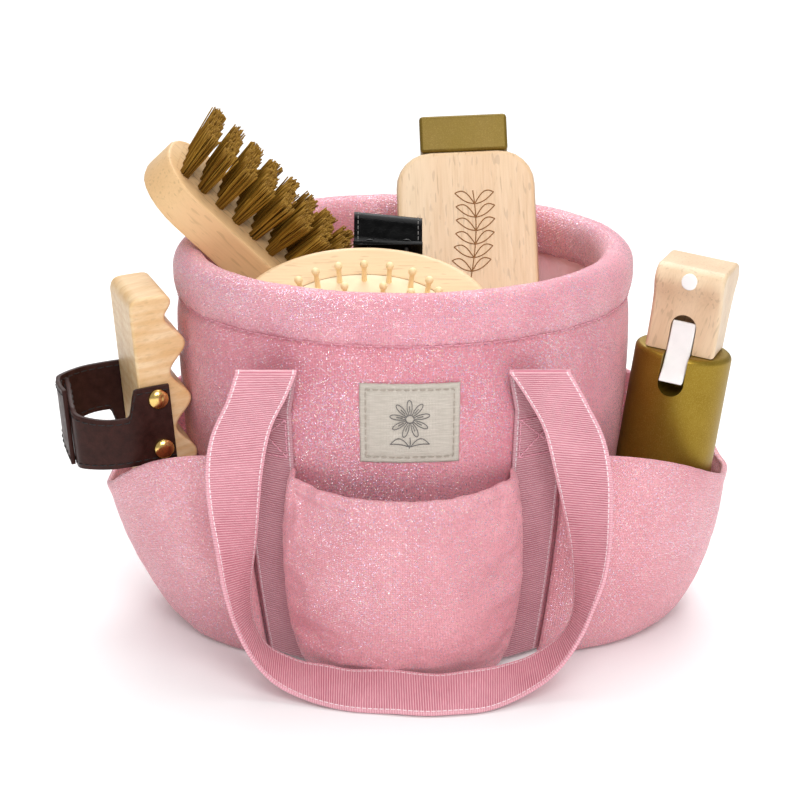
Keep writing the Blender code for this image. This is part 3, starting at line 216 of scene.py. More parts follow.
def glitter_fabric(name, tone, dusk, spark):
    """Closely woven fabric with a dense, uneven scatter of fine glitter in several tints."""
    f = Finish(name, tone, 0.6, Sheen_Weight=0.12, Sheen_Roughness=0.4)
    flat = f.coordinates(uv=True)
    solid = f.coordinates()
    weave = f.times(*(f.bands(flat, way, 470.0, 1.5, 1.0, 3.0) for way in "XY"))
    patchy = f.noise(solid, 34.0, 4.0, 0.6)
    fine = f.noise(solid, 1100.0, 2.0)
    ground = f.ramp(patchy, (0.28, dusk), (0.70, tone))
    ground = f.fade(weave, 0.0, 1.0, 0.34, ground, [min(1.0, c * 1.2 + 0.06) for c in tone])
    ground = f.fade(fine, 0.40, 0.62, 0.5, ground, shaded(dusk, 0.86))
    drift = f.span(f.noise(solid, 26.0, 2.0), 0.36, 0.66, spark, spark * 0.35)
    height = f.plus(weave, f.times(fine, 0.8))
    normal = f.node("NewGeometry", {}).outputs["Normal"]
    total = 0.0
    for scale, size, part in ((2300.0, 0.55, 1.0), (1250.0, 0.42, 0.16)):
        cells = f.cells(solid, scale)
        parts = f.node("SeparateColor", {"Color": cells["Color"]}).outputs
        chosen = f.maths("GREATER_THAN", parts[0], f.maths("SUBTRACT", 1.0, f.times(drift, part)))
        flake = f.times(chosen, f.maths("LESS_THAN", cells["Distance"], size))
        tint = f.ramp(parts[1], (0.0, (0.98, 0.80, 0.50)), (0.25, (1.0, 0.90, 0.92)),
                      (0.55, (0.92, 0.62, 0.90)), (0.74, (0.66, 0.62, 1.0)), (0.92, (1.0, 0.98, 0.96)))
        tilt = f.vector("SUBTRACT", {0: cells["Color"], 1: (0.5, 0.5, 0.5)})
        tilt = f.vector("SCALE", {0: tilt, "Scale": f.times(flake, 0.9)})
        normal = f.vector("ADD", {0: normal, 1: tilt})
        ground = f.mix(f.times(flake, 0.62), ground, tint)
        total = f.maths("MAXIMUM", flake, total)
    facing = f.vector("NORMALIZE", {0: normal})
    return f.finish(Base_Color=ground, Normal=f.bump(height, 0.00014, 0.9, Normal=facing),
                    Metallic=f.times(total, 0.5), Roughness=f.span(total, 0.0, 1.0, 0.60, 0.20))


def satin_lining():
    f = Finish("pink_lining_cloth", (0.86, 0.36, 0.42), 0.42, Sheen_Weight=0.2)
    cloudy = f.noise(f.coordinates(uv=True), 60.0, 3.0)
    long_fibres = f.noise(f.coordinates(uv=True, scale=(2200.0, 160.0, 1.0)), 1.0, 2.0)
    return f.finish(Base_Color=f.fade(cloudy, 0.3, 0.7, 1.0, (1.0, 0.55, 0.60), (1.0, 0.72, 0.76)),
                    Roughness=f.span(long_fibres, 0.3, 0.7, 0.34, 0.52),
                    Normal=f.bump(long_fibres, 0.00008, 0.6))


def webbing_finish(name, depth):
    """Grosgrain: cross ribs and a stitched selvage along both edges. U runs across, V along. A depth below 1
    darkens every colour, as painted shade.
    """
    f = Finish(name, shaded((0.72, 0.27, 0.35), depth), 0.55, Sheen_Weight=0.2, Sheen_Roughness=0.35)
    flat = f.coordinates(uv=True)
    parts = f.node("SeparateXYZ", {"Vector": flat}).outputs
    across = f.maths("ABSOLUTE", parts[0])
    edge = f.span(across, TAPE_WIDTH / 2 - 0.0019, TAPE_WIDTH / 2 - 0.0015)
    stitched = f.maths("LESS_THAN", f.maths("FRACT", f.times(parts[1], 420.0)), 0.72)
    off_line = f.maths("ABSOLUTE", f.maths("SUBTRACT", across, TAPE_WIDTH / 2 - 0.0014))
    line = f.times(f.maths("LESS_THAN", off_line, 0.00028), stitched)
    ribs = f.bands(flat, "Y", 300.0, 0.2)
    threads = f.noise(f.coordinates(uv=True, scale=(260.0, 3200.0, 1.0)), 1.0, 2.0)
    wander = f.noise(f.coordinates(), 70.0, 3.0)
    ground = shaded((0.60, 0.17, 0.23), depth)
    # Besides their bump, the ribs get a painted highlight: their crests are mixed towards pale pink.
    for share, colour in ((f.span(wander, 0.3, 0.7), (0.74, 0.27, 0.34)),
                          (f.span(ribs, 0.30, 0.9, 0.0, 0.85), (0.98, 0.60, 0.65)),
                          (f.span(threads, 0.35, 0.75, 0.0, 0.3), (0.52, 0.16, 0.23)),
                          (f.times(edge, 0.4), (0.86, 0.48, 0.55)), (line, (1.0, 0.80, 0.84))):
        ground = f.mix(share, ground, shaded(colour, depth))
    height = f.plus(f.times(ribs, f.span(edge, 0.0, 1.0, 1.0, 0.35)), f.times(threads, 0.5))
    return f.finish(Base_Color=ground, Normal=f.bump(f.plus(height, f.times(line, 0.8)), 0.0003, 0.9),
                    Roughness=f.span(ribs, 0.0, 1.0, 0.66, 0.46))


def wood_finish(name, light, dark, place, along, fleck=0.6, rings=26.0, across=None, depth=0.38):
    """Plain timber. along and across are the axes of grain and bands in the tool's own axes."""
    f = Finish(name, light, 0.45, Coat_Weight=0.12, Coat_Roughness=0.3)
    if across is None:
        across = (along + 1) % 3

    def stretched(wide, long):
        return f.coordinates(place, scale=[long if axis == along else wide for axis in range(3)])

    long_grain = stretched(1.0, 0.07)
    broad = f.noise(long_grain, rings, 3.0, 0.55)
    bands = f.bands(long_grain, "XYZ"[across], rings * 0.55, 5.0, 2.0, 1.2)
    fibres = f.noise(stretched(1300.0, 55.0), 1.0, 2.0, 0.6)
    pores = f.span(f.noise(stretched(900.0, 150.0), 1.0, 0.0), 0.66, 0.74, 0.0, fleck)
    tone = light
    for share, colour in ((f.span(broad, 0.3, 0.72), dark), (f.span(bands, 0.35, 1.0, 0.0, depth), dark),
                          (f.span(fibres, 0.45, 0.8, 0.0, 0.28), shaded(dark, 0.72)),
                          (pores, shaded(dark, 0.5))):
        tone = f.mix(share, tone, colour)
    height = f.maths("SUBTRACT", f.times(fibres, 0.6), pores)
    return f.finish(Base_Color=tone, Normal=f.bump(height, 0.00006, 0.6),
                    Roughness=f.span(fibres, 0.3, 0.8, 0.36, 0.56))


def leather_finish(name, colour, specular, roughness):
    f = Finish(name, colour, roughness, Specular_IOR_Level=specular)
    solid = f.coordinates()
    pebbles = f.cells(solid, 1500.0, feature="SMOOTH_F1")[0]
    creases = f.noise(solid, 260.0, 5.0, 0.6)
    return f.finish(Base_Color=f.fade(creases, 0.3, 0.75, 1.0, colour, [c * 1.9 + 0.002 for c in colour]),
                    Normal=f.bump(f.plus(f.times(pebbles, 0.7), creases), 0.00012, 0.55),
                    Roughness=f.span(creases, 0.3, 0.75, roughness * 0.75, roughness * 1.35))


def painted_wood(name, metallic, depth):
    """Satin metallic paint, a little thin and mottled over the wood."""
    f = Finish(name, (0.25, 0.15, 0.012), 0.36, Metallic=metallic, Specular_IOR_Level=0.3)
    solid = f.coordinates()
    mica = f.noise(solid, 2300.0, 2.0)
    cloud = f.noise(solid, 60.0, 4.0, 0.65)
    streak = f.noise(f.coordinates(scale=(420.0, 420.0, 30.0)), 1.0, 2.0)
    tone = f.fade(cloud, 0.3, 0.72, 1.0, shaded((0.235, 0.145, 0.014), depth),
                  shaded((0.31, 0.205, 0.026), depth))
    tone = f.fade(mica, 0.48, 0.72, 0.45, tone, shaded((0.46, 0.33, 0.075), depth))
    return f.finish(Base_Color=tone, Normal=f.bump(f.plus(f.times(mica, 0.5), streak), 0.00005, 0.5),
                    Roughness=f.span(cloud, 0.3, 0.75, 0.38, 0.50))


def moulded(name, colour, roughness):
    f = Finish(name, colour, roughness)
    solid = f.coordinates()
    skin = f.noise(solid, 1400.0, 3.0)
    cloud = f.noise(solid, 140.0, 2.0)
    return f.finish(Base_Color=f.fade(cloud, 0.3, 0.7, 1.0, colour, shaded(colour, 0.93)),
                    Normal=f.bump(skin, 0.00003, 0.5),
                    Roughness=f.span(skin, 0.3, 0.7, roughness * 0.85, roughness * 1.15))


def metal(name, colour, roughness):
    f = Finish(name, colour, roughness, Metallic=1.0)
    wear = f.noise(f.coordinates(), 900.0, 4.0, 0.6)
    return f.finish(Base_Color=f.fade(wear, 0.4, 0.75, 0.5, colour, shaded(colour, 0.6)),
                    Normal=f.bump(wear, 0.00003, 0.4),
                    Roughness=f.span(wear, 0.3, 0.75, roughness * 0.8, roughness * 1.8))


def cloth_patch():
    """Plain woven beige cloth. U and V are in metres."""
    f = Finish("beige_canvas", (0.56, 0.50, 0.43), 0.85, Sheen_Weight=0.1)
    flat = f.coordinates(uv=True)
    warp, weft = (f.bands(flat, way, 520.0, 2.0) for way in "XY")
    slubs = f.noise(f.coordinates(uv=True, scale=(160.0, 1600.0, 1.0)), 1.0, 3.0)
    tone = f.fade(slubs, 0.3, 0.75, 1.0, (0.50, 0.45, 0.385), (0.66, 0.60, 0.53))
    return f.finish(Base_Color=f.mix(f.times(warp, 0.25), tone, (0.44, 0.39, 0.33)),
                    Normal=f.bump(f.maths("MAXIMUM", warp, weft), 0.00012, 0.8))


def bristle_finish():
    """Tan strands, each a little different, with painted shade that darkens them near the wood. The mesh
    carries the height.
    """
    f = Finish("tan_bristle", (0.26, 0.13, 0.022), 0.75, Specular_IOR_Level=0.15)
    tuft = f.node("SeparateXYZ", {"Vector": f.coordinates(uv=True)}).outputs
    tone = f.ramp(tuft[0], (0.0, (0.16, 0.070, 0.005)), (0.5, (0.25, 0.120, 0.010)),
                  (1.0, (0.37, 0.200, 0.026)))
    # Painted shade: the lower part of each strand is mixed towards dark brown, most at the wood.
    tone = f.mix(f.span(tuft[1], 0.0, 0.40, 0.55, 0.0), tone, (0.12, 0.055, 0.008))
    return f.finish(Base_Color=f.fade(tuft[1], 0.8, 1.0, 0.30, tone, (0.43, 0.26, 0.06)))


def tissue_finish():
    f = Finish("crumpled_tissue", (0.88, 0.80, 0.80), 0.8)
    solid = f.coordinates()
    folds = f.cells(solid, 120.0)["Distance"]
    fibre = f.noise(solid, 900.0, 3.0)
    return f.finish(Base_Color=f.fade(folds, 0.1, 0.7, 1.0, (0.90, 0.84, 0.84), (0.80, 0.68, 0.70)),
                    Normal=f.bump(f.plus(folds, f.times(fibre, 0.1)), 0.0012, 0.9))


PINK = glitter_fabric("pink_glitter_fabric", (0.80, 0.32, 0.38), (0.62, 0.19, 0.25), 0.52)
PINK_RIM = glitter_fabric("pink_glitter_rim", (0.85, 0.40, 0.46), (0.68, 0.24, 0.31), 0.60)
POCKET_PINK = glitter_fabric("pink_pocket_fabric", (0.85, 0.40, 0.45), (0.69, 0.27, 0.32), 0.38)
LINING = satin_lining()
WEBBING = webbing_finish("pink_grosgrain", 1.0)
# The tapes take a darker copy of the handle's webbing: painted shade.
TAPE_WEBBING_PAINTED_SHADE = webbing_finish("pink_tape_grosgrain_painted_shade", 0.68)
CANVAS = cloth_patch()
TISSUE = tissue_finish()
BRISTLE = bristle_finish()
GOLD = painted_wood("olive_gold_paint", 0.8, 1.1)
CAP_GOLD = painted_wood("cap_gold_paint", 0.35, 0.66)
BROWN_LEATHER = leather_finish("dark_brown_leather", (0.026, 0.0085, 0.0065), 0.16, 0.40)
BLACK_LEATHER = leather_finish("black_leather", (0.0006, 0.0006, 0.0007), 0.11, 0.20)
BRASS = metal("polished_brass", (0.86, 0.60, 0.20), 0.16)
STEEL = metal("spring_steel", (0.62, 0.62, 0.64), 0.28)
WHITE = moulded("white_plastic", (0.96, 0.96, 0.94), 0.32)
BLACK_NAIL = metal("blackened_steel", (0.05, 0.05, 0.05), 0.5)
CREAM = moulded("cream_rubber", (0.90, 0.73, 0.49), 0.6)
THREAD = moulded("pink_thread", (0.78, 0.36, 0.45), 0.6)
CANVAS_THREAD = moulded("beige_thread", (0.42, 0.36, 0.30), 0.7)
GREY_THREAD = moulded("grey_thread", (0.20, 0.19, 0.18), 0.6)
DARK_THREAD = moulded("dark_thread", (0.006, 0.004, 0.004), 0.5)
INK = moulded("grey_ink", (0.16, 0.15, 0.15), 0.8)
SCORCH = moulded("burnt_line", (0.30, 0.13, 0.035), 0.7)


# Mesh helpers
def linked(name, data):
    piece = bpy.data.objects.new(name, data)
    bpy.context.scene.collection.objects.link(piece)
    return piece


def built(name, build):
    mesh = bpy.data.meshes.new(name)
    build.to_mesh(mesh)
    build.free()
    return mesh


def evaluated(piece):
    return piece.evaluated_get(bpy.context.evaluated_depsgraph_get())


def frozen(piece):
    bpy.context.view_layer.update()
    return bpy.data.meshes.new_from_object(evaluated(piece))


def show(name, mesh, material, body="bag", matrix=None, replaces=(), slot=None, angle=None):
    piece = linked(name, mesh)
    mesh.materials.clear()
    mesh.materials.append(material)
    mesh.shade_smooth()
    if angle:
        mesh.set_sharp_from_angle(angle=radians(angle))
    if matrix is not None:
        piece.matrix_world = matrix
    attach(piece, body)
    if replaces:
        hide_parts(*replaces)
    return piece


def surface(name, rows, columns, point, uv, *look, close=True, flip=False, **more):
    """A piece of rows by columns whose points and UVs come from functions of the two shares."""
    wide = columns if close else columns + 1
    verts = [tuple(point(j / columns, i / rows)) for i in range(rows + 1) for j in range(wide)]
    faces, spots = [], []
    for i in range(rows):
        for j in range(columns):
            corners = [(j, i), (j + 1, i), (j + 1, i + 1), (j, i + 1)][::-1 if flip else 1]
            spots += corners
            faces.append([b * wide + a % wide for a, b in corners])
    mesh = bpy.data.meshes.new(name)
    mesh.from_pydata(verts, [], faces)
    for loop, (a, b) in zip(mesh.uv_layers.new(name="flat").data, spots):
        loop.uv = uv(a / columns, b / rows)
    mesh.update()
    return show(name, mesh, *look, **more)


def same(u, v):
    return u, v


def spread(wide, high):
    return lambda u, v: (u * wide, v * high)


def rounded(piece, width, segments=2, angle=50):
    edge = piece.modifiers.new("Edges", "BEVEL")
    edge.width = width
    edge.segments = segments
    edge.limit_method = "ANGLE"
    edge.angle_limit = radians(angle)


def thicken(piece, thickness, offset=-1):
    solid = piece.modifiers.new("Thickness", "SOLIDIFY")
    solid.thickness = thickness
    solid.offset = offset


def levelled(piece, angle=40):
    piece.data.set_sharp_from_angle(angle=radians(angle))
    piece.modifiers.new("Normals", "WEIGHTED_NORMAL").keep_sharp = True
    return piece


CLOTH = {"quality": 6, "mass": 0.02, "tension_stiffness": 20.0, "compression_stiffness": 20.0,
         "shear_stiffness": 8.0, "bending_stiffness": 0.25, "vertex_group_mass": "seams",
         "shrink_min": -0.035, "use_pressure": True, "uniform_pressure_force": 30.0}
CLOTH_FRAMES = 20
# The furthest that a point may move, and how far of that inward
CLOTH_REACH = 0.0035
CLOTH_INWARD = 0.0012


def settle_cloth(piece, weights):
    """Let a sewn panel swell and wrinkle as cloth, held where its weights say, and keep the result."""
    group = piece.vertex_groups.new(name="seams")
    for vertex, weight in enumerate(weights):
        group.add([vertex], weight, "REPLACE")
    cloth = piece.modifiers.new("Cloth", "CLOTH")
    for key, value in CLOTH.items():
        setattr(cloth.settings, key, value)
    cloth.settings.effector_weights.gravity = 0.0
    scene = bpy.context.scene
    for step in range(1, CLOTH_FRAMES + 1):
        scene.frame_set(step)
    swollen = evaluated(piece).data
    moves = [after.co - before.co for after, before in zip(swollen.vertices, piece.data.vertices)]
    piece.modifiers.remove(cloth)
    for vertex, move in zip(piece.data.vertices, moves):
        if move.length > CLOTH_REACH:
            move *= CLOTH_REACH / move.length
        out = Vector((vertex.co.x, vertex.co.y, 0.0)).normalized()
        depth = move.dot(out)
        if depth < -CLOTH_INWARD:
            move -= out * (depth + CLOTH_INWARD)
        vertex.co += move
    piece.vertex_groups.remove(group)
    scene.frame_set(1)


WELD = 0.000004
FLAT_ANGLE = 0.6


def dress(node, material, body, angle=34, bevel=0.0):
    """A clean smooth-shaded copy of a rigid CAD piece, with its finish."""
    build = bmesh.new()
    build.from_mesh(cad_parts[node].data)
    bmesh.ops.remove_doubles(build, verts=build.verts, dist=WELD)
    bmesh.ops.dissolve_limit(build, angle_limit=radians(FLAT_ANGLE), verts=build.verts,
                             edges=build.edges)
    piece = show(node + "_skin", built(node + "_skin", build), material, body, replaces=(node,))
    if bevel:
        rounded(piece, bevel, 3, 40)
    levelled(piece, angle)


def extruded(name, outline, half, axis, bevel):
    """A solid from an outline in the plane across an axis (0, 1 or 2), with softly rounded edges."""
    count = len(outline)
    area = sum(outline[i - 1][0] * outline[i][1] - outline[i][0] * outline[i - 1][1] for i in range(count))
    inward = []
    for i in range(count):
        before, here, after = (Vector(outline[k % count]) for k in (i - 1, i, i + 1))
        along = (here - before).normalized() + (after - here).normalized()
        inward.append(Vector((-along.y, along.x)).normalized() * (1 if area > 0 else -1))
    rings = [(half - bevel + c, bevel - s) for c, s in arc(0, 0, bevel, range(0, 91, 18) if bevel else (90,))]
    build = bmesh.new()
    loops = []
    for place, inset in [(-place, inset) for place, inset in rings] + rings[::-1]:
        spots = [Vector(point) + way * inset for point, way in zip(outline, inward)]
        loops.append([build.verts.new((*spot[:axis], place, *spot[axis:])) for spot in spots])
    for near, far in zip(loops, loops[1:]):
        for i in range(count):
            k = (i + 1) % count
            build.faces.new((near[i], near[k], far[k], far[i]))
    caps = [build.faces.new(loops[0]), build.faces.new(loops[-1])]
    bmesh.ops.recalc_face_normals(build, faces=build.faces)
    bmesh.ops.triangulate(build, faces=caps, ngon_method="BEAUTY")
    if build.calc_volume(signed=True) < 0:
        bmesh.ops.reverse_faces(build, faces=build.faces)
    return built(name, build)


SLOT_NEAR, SLOT_FAR = -0.03, -0.0026
SLOT_HALF = 0.0057


def carved(piece, outline, place, solver="EXACT"):
    """Cut the trigger's slot along the tool's Y axis, with its outline given in X and Z."""
    cutter = linked("slot", extruded("slot", outline, (SLOT_FAR - SLOT_NEAR) / 2, 1, 0))
    cutter.matrix_world = place @ Matrix.Translation((0, (SLOT_NEAR + SLOT_FAR) / 2, 0))
    slot = piece.modifiers.new("Slot", "BOOLEAN")
    slot.object = cutter
    slot.solver = solver
    mesh = frozen(piece)
    piece.modifiers.remove(slot)
    bpy.data.objects.remove(cutter)
    piece.data = mesh
    mesh.shade_smooth()
    levelled(piece, 35)


def turned_into(build, profile, matrix, sides=14):
    rings = [[build.verts.new(matrix @ turned(k / sides, radius, radius, z)) for k in range(sides)]
             for radius, z in profile]
    for lower, upper in zip(rings, rings[1:]):
        for k in range(sides):
            m = (k + 1) % sides
            build.faces.new((lower[k], lower[m], upper[m], upper[k]))
    build.faces.new(rings[-1])


def drawing(name, lines, radius, resolution, material, body="bag", matrix=None):
    """Round threads or thin raised strokes along the given lines."""
    curve = bpy.data.curves.new(name, "CURVE")
    curve.dimensions = "3D"
    curve.bevel_depth = radius
    curve.bevel_resolution = resolution
    curve.use_fill_caps = True
    for line in lines:
        spline = curve.splines.new("POLY")
        spline.points.add(len(line) - 1)
        for point, spot in zip(spline.points, line):
            point.co = (*spot, 1.0)
    source = linked(name + "_path", curve)
    mesh = frozen(source)
    bpy.data.objects.remove(source)
    bpy.data.curves.remove(curve)
    mesh.name = name
    show(name, mesh, material, body, matrix)


# How high a stitch stands along its length, in shares of the thread's radius
HOOP = (-0.6, 0.5, 0.8, 0.5, -0.6)


def stitches(name, path, normal, thread, stitch, gap, radius, body="bag", matrix=None):
    """Separate thread stitches along a path, each a low hoop that dips at both ends."""
    lengths = [0.0]
    for a, b in zip(path, path[1:]):
        lengths.append(lengths[-1] + (b - a).length)
    count = max(1, int((lengths[-1] + gap) / (stitch + gap)))
    pitch = (lengths[-1] + gap) / count
    hoops = []
    for k in range(count):
        hoop = []
        for m, rise in enumerate(HOOP):
            distance = k * pitch + (pitch - gap) * m / 4
            i = next((i for i in range(len(path) - 1) if distance <= lengths[i + 1]), len(path) - 2)
            share = (distance - lengths[i]) / max(lengths[i + 1] - lengths[i], 1e-9)
            spot = path[i].lerp(path[i + 1], share)
            hoop.append(spot + (normal(spot) if callable(normal) else normal) * radius * rise)
        hoops.append(hoop)
    drawing(name, hoops, radius, 2, thread, body, matrix)


def edge_stitches(name, rows, shift, axis, lift, *look):
    """Stitches beside a strap's edge, on the face that the axis turns towards."""
    path, lifts = [], []
    for (before, _), (centre, across), (after, _) in zip(rows, rows[1:], rows[2:]):
        lifts.append(axis.cross(after - before).normalized())
        path.append(centre + shift(across) + lifts[-1] * lift)

    def normal(spot):
        return lifts[min(range(len(path)), key=lambda i: (path[i] - spot).length_squared)]

    stitches(name, path, normal, *look)


# The bag's wall, rim and lining
WALL_FOOT = 0.0012
SEAM_Z = 0.149
RIM_ROWS = 44
RIM_CENTRE = Vector((0.0936, 0.1600))
RIM_SECTION = (
    (0.0984, 0.1490), (0.1000, 0.1510), (0.1010, 0.1555), (0.1012, 0.1610), (0.1002, 0.1660),
    (0.0972, 0.1695), (0.0932, 0.1704), (0.0894, 0.1690), (0.0868, 0.1650), (0.0862, 0.1600),
    (0.0866, 0.1550), (0.0876, 0.1508), (0.0896, 0.1492), (0.0940, 0.1486), (0.0984, 0.1490),
)


def make_wall():
    def wall(u, v):
        z = WALL_FOOT + BODY_HEIGHT * v
        seam = exp(-max(BODY_HEIGHT - z, 0.0) / 0.0045)
        foot = max(0.0, 1 - z / 0.004) ** 2
        radius = wall_radius(max(z, 0.002)) + 0.0005 * ring_wave(u, 3, z * 22) - 0.0016 * foot
        return around(360 * u, radius + seam * (0.0009 * ring_wave(u, 26, z * 60) - 0.0026), z)

    piece = surface("bag_wall", 64, 288, wall, spread(0.61, 0.15), PINK,
                    replaces=("outer_shell", "foam_wall"), slot="pink_fabric")
    base = surface("bag_base", 8, 96,
                   lambda u, v: around(360 * u, 0.0805 * v + 0.0001, 0.0002 + 0.0010 * v ** 8),
                   lambda u, v: turned(u, 0.08 * v, 0.08 * v).xy, PINK, replaces=("base_panel", "base_board"),
                   slot="pink_fabric")
    thicken(base, 0.0018)


def make_rim():
    section = smooth_route(RIM_SECTION, RIM_ROWS)

    def rim(u, v):
        radius, z = section[round(v * RIM_ROWS)]
        out = (Vector((radius, z)) - RIM_CENTRE).normalized()
        low = max(0.0, 1 - (z - SEAM_Z) / 0.006)
        ripple = ring_wave(u, 34, z * 70)
        puff = 0.0003 * ring_wave(u, 5, z * 40 + 3) + 0.0002 * ripple + low * (0.0007 * ripple - 0.0003)
        return around(360 * u, radius + out.x * puff, z + out.y * puff)

    piece = surface("rim_roll", RIM_ROWS, 300, rim, spread(0.61, 0.064), PINK_RIM, replaces=("rim_collar",),
                    slot="pink_fabric")
    edge = [around(angle, 0.0993, 0.1495) for angle in range(0, 361, 3)]
    stitches("rim_seam", edge, lambda p: Vector((p.x, p.y, 0)).normalized(), THREAD, 0.0030, 0.0012, 0.00022)


def make_lining():
    def wall(u, v):
        z = 0.0065 + 0.1465 * v
        radius = wall_radius(z) - WALL_THICKNESS - 0.0003
        radius -= max(0.0, ring_wave(u, 15, z * 9)) * 0.0030 * (1 - 0.5 * v)
        radius -= max(0.0, ring_wave(u, 40, z * 16)) * 0.0009 + max(0.0, z - SEAM_Z) * 0.75
        return around(360 * u, radius, z)

    def wad(u, v):
        spot = around(360 * u, 0.0825 * min(1.0, v * 1.35), BED_TOP - max(0.0, v - 0.74) * 0.39)
        crumple = abs(wave(*spot * 55)) + 0.5 * abs(wave(*spot * 150))
        spot.z -= 0.0055 * crumple
        spot.xy *= 1 - 0.05 * crumple * v
        return spot

    piece = surface("lining_wall", 40, 260, wall, spread(0.57, 0.147), LINING, replaces=("lining",),
                    slot="pink_lining", flip=True)
    thicken(piece, 0.0008, 1)
    surface("lining_floor", 6, 96, lambda u, v: around(360 * u, 0.0745 * v + 0.0001, 0.0064),
            lambda u, v: turned(u, 0.075 * v, 0.075 * v).xy, LINING, slot="pink_lining", flip=True)
    surface("tissue_top", 60, 160, wad, same, TISSUE, replaces=("tissue_wad",), slot="tissue", flip=True)


# Pockets. A belly lists how far a panel stands out, and at what share of its height, from the foot up.
POCKET_ROWS = 56
POCKET_FOOT = 0.0008
POCKET_GAP = 0.0036
RIGHT_BELLY = ((0.0, 0.0), (0.34, 0.0005), (0.62, 0.004), (0.78, 0.05), (0.88, 0.16), (0.96, 0.40),
               (1.0, 0.70), (1.0, 1.0))
LEFT_BELLY = ((0.0, 0.0), (0.22, 0.0005), (0.42, 0.004), (0.53, 0.05), (0.62, 0.14), (0.77, 0.36),
              (0.91, 0.66), (1.0, 1.0))
FRONT_BELLY = ((0.0, 0.0), (0.60, 0.008), (1.02, 0.07), (1.30, 0.20), (1.45, 0.42), (1.35, 0.66),
               (1.1, 0.86), (1.0, 1.0))
FRONT_SHAPE = (64, 0.105, TAPE_ANGLE, 0.0125, 0.0085, FRONT_BELLY, 0.45, 0.45)
RIGHT_SHAPE = (96, 0.20, 90 - TAPE_ANGLE, 0.047, 0.029, RIGHT_BELLY, 0.75, 2.4)
LEFT_SHAPE = (96, 0.20, 90 - TAPE_ANGLE, 0.035, 0.034, LEFT_BELLY, 0.6, 2.4)


def make_pocket(node, centre, shape, seed):
    columns, flat_width, half, bulge, droop, belly, fullness, dip = shape
    profile = smooth_route(belly, POCKET_ROWS)

    def panel(u, v):
        out, share = profile[round(v * POCKET_ROWS)]
        share = max(share, 0.0)
        s = -1 + 2 * u
        side = abs(s)
        swell = max(cos(pi * s / 2), 0.0)
        full = swell ** fullness
        top = POCKET_CORNER - droop * swell ** dip
        z = POCKET_FOOT + share * (top - POCKET_FOOT)
        depth = top - z
        span = half - degrees((TAPE_WIDTH / 2 + 0.0006) / wall_radius(z))
        radius = wall_radius(z) + POCKET_GAP + bulge * full * max(out, 0.0)
        radius -= 0.0015 * max(0.0, 1 - (1 - side) / 0.05)
        crease = wave(s * 7 + seed, z * 38, seed)
        radius += full ** 0.5 * (0.0011 * crease + 0.0004 * wave(s * 24, z * 130, seed + 5))
        gather = wave(s * 42, z * 60 + s * 30, seed * 3)
        radius += bell(side, 0.92, 0.16) * bell(depth, 0.010, 0.016) * 0.0012 * gather
        radius += (0.0004 if depth < 0.006 else 0.0) - bell(depth, 0.0065, 0.0011) * 0.0005 * full
        lean = 0.0
        if half == TAPE_ANGLE:  # the front and the back
            over = max(0.0, sin(pi * min(share, 1.0) ** 0.62)) ** 0.5
            lean = 5.2 * sin(pi * s / 2) * side ** 3 * over
            fold = bell(side, 0.78 + 0.02 * wave(z * 60, s), 0.055)
            radius += 0.0018 * over * side ** 3 - 0.0017 * fold * exp(-depth / 0.036)
            radius += 0.0012 * bell(side, 0.90, 0.05) * exp(-depth / 0.020)
            radius += 0.0010 * exp(-share / 0.16) * full * wave(s * 5, z * 210, seed + 2)
        return around(centre + s * span + lean, radius, z)

    piece = surface(node + "_cloth", POCKET_ROWS, columns, panel, spread(flat_width, 0.11), POCKET_PINK,
                    replaces=(node,), slot="pink_fabric", close=False)
    weights = []
    for i in range(POCKET_ROWS + 1):
        for j in range(columns + 1):
            seam = 1 - min(j, columns - j) / 3
            held = max(seam, 1 - i / 4, 0.75 * (1 - (POCKET_ROWS - i) / 3), 0.04)
            weights.append(min(1.0, held))
    settle_cloth(piece, weights)
    thicken(piece, 0.0026)
    soft = piece.modifiers.new("Soft", "SUBSURF")
    soft.levels = soft.render_levels = 1


def make_pockets():
    make_pocket("front_pocket", 0, FRONT_SHAPE, 1.7)
    make_pocket("back_pocket", 180, FRONT_SHAPE, 4.1)
    make_pocket("right_pocket", 90, RIGHT_SHAPE, 7.3)
    make_pocket("left_pocket", -90, LEFT_SHAPE, 9.9)


# Webbing
TAPE_LIFT = 0.0012
TAPE_FOOT, TAPE_BEND = 0.0028, 0.118
TAPE_ROWS, LOOSE_ROWS = 60, 12
HANDLE_ROWS = 168
HANDLE_FOLD_Y = -(HANDLE_AXIS_Y + 0.0003 + 0.00075)
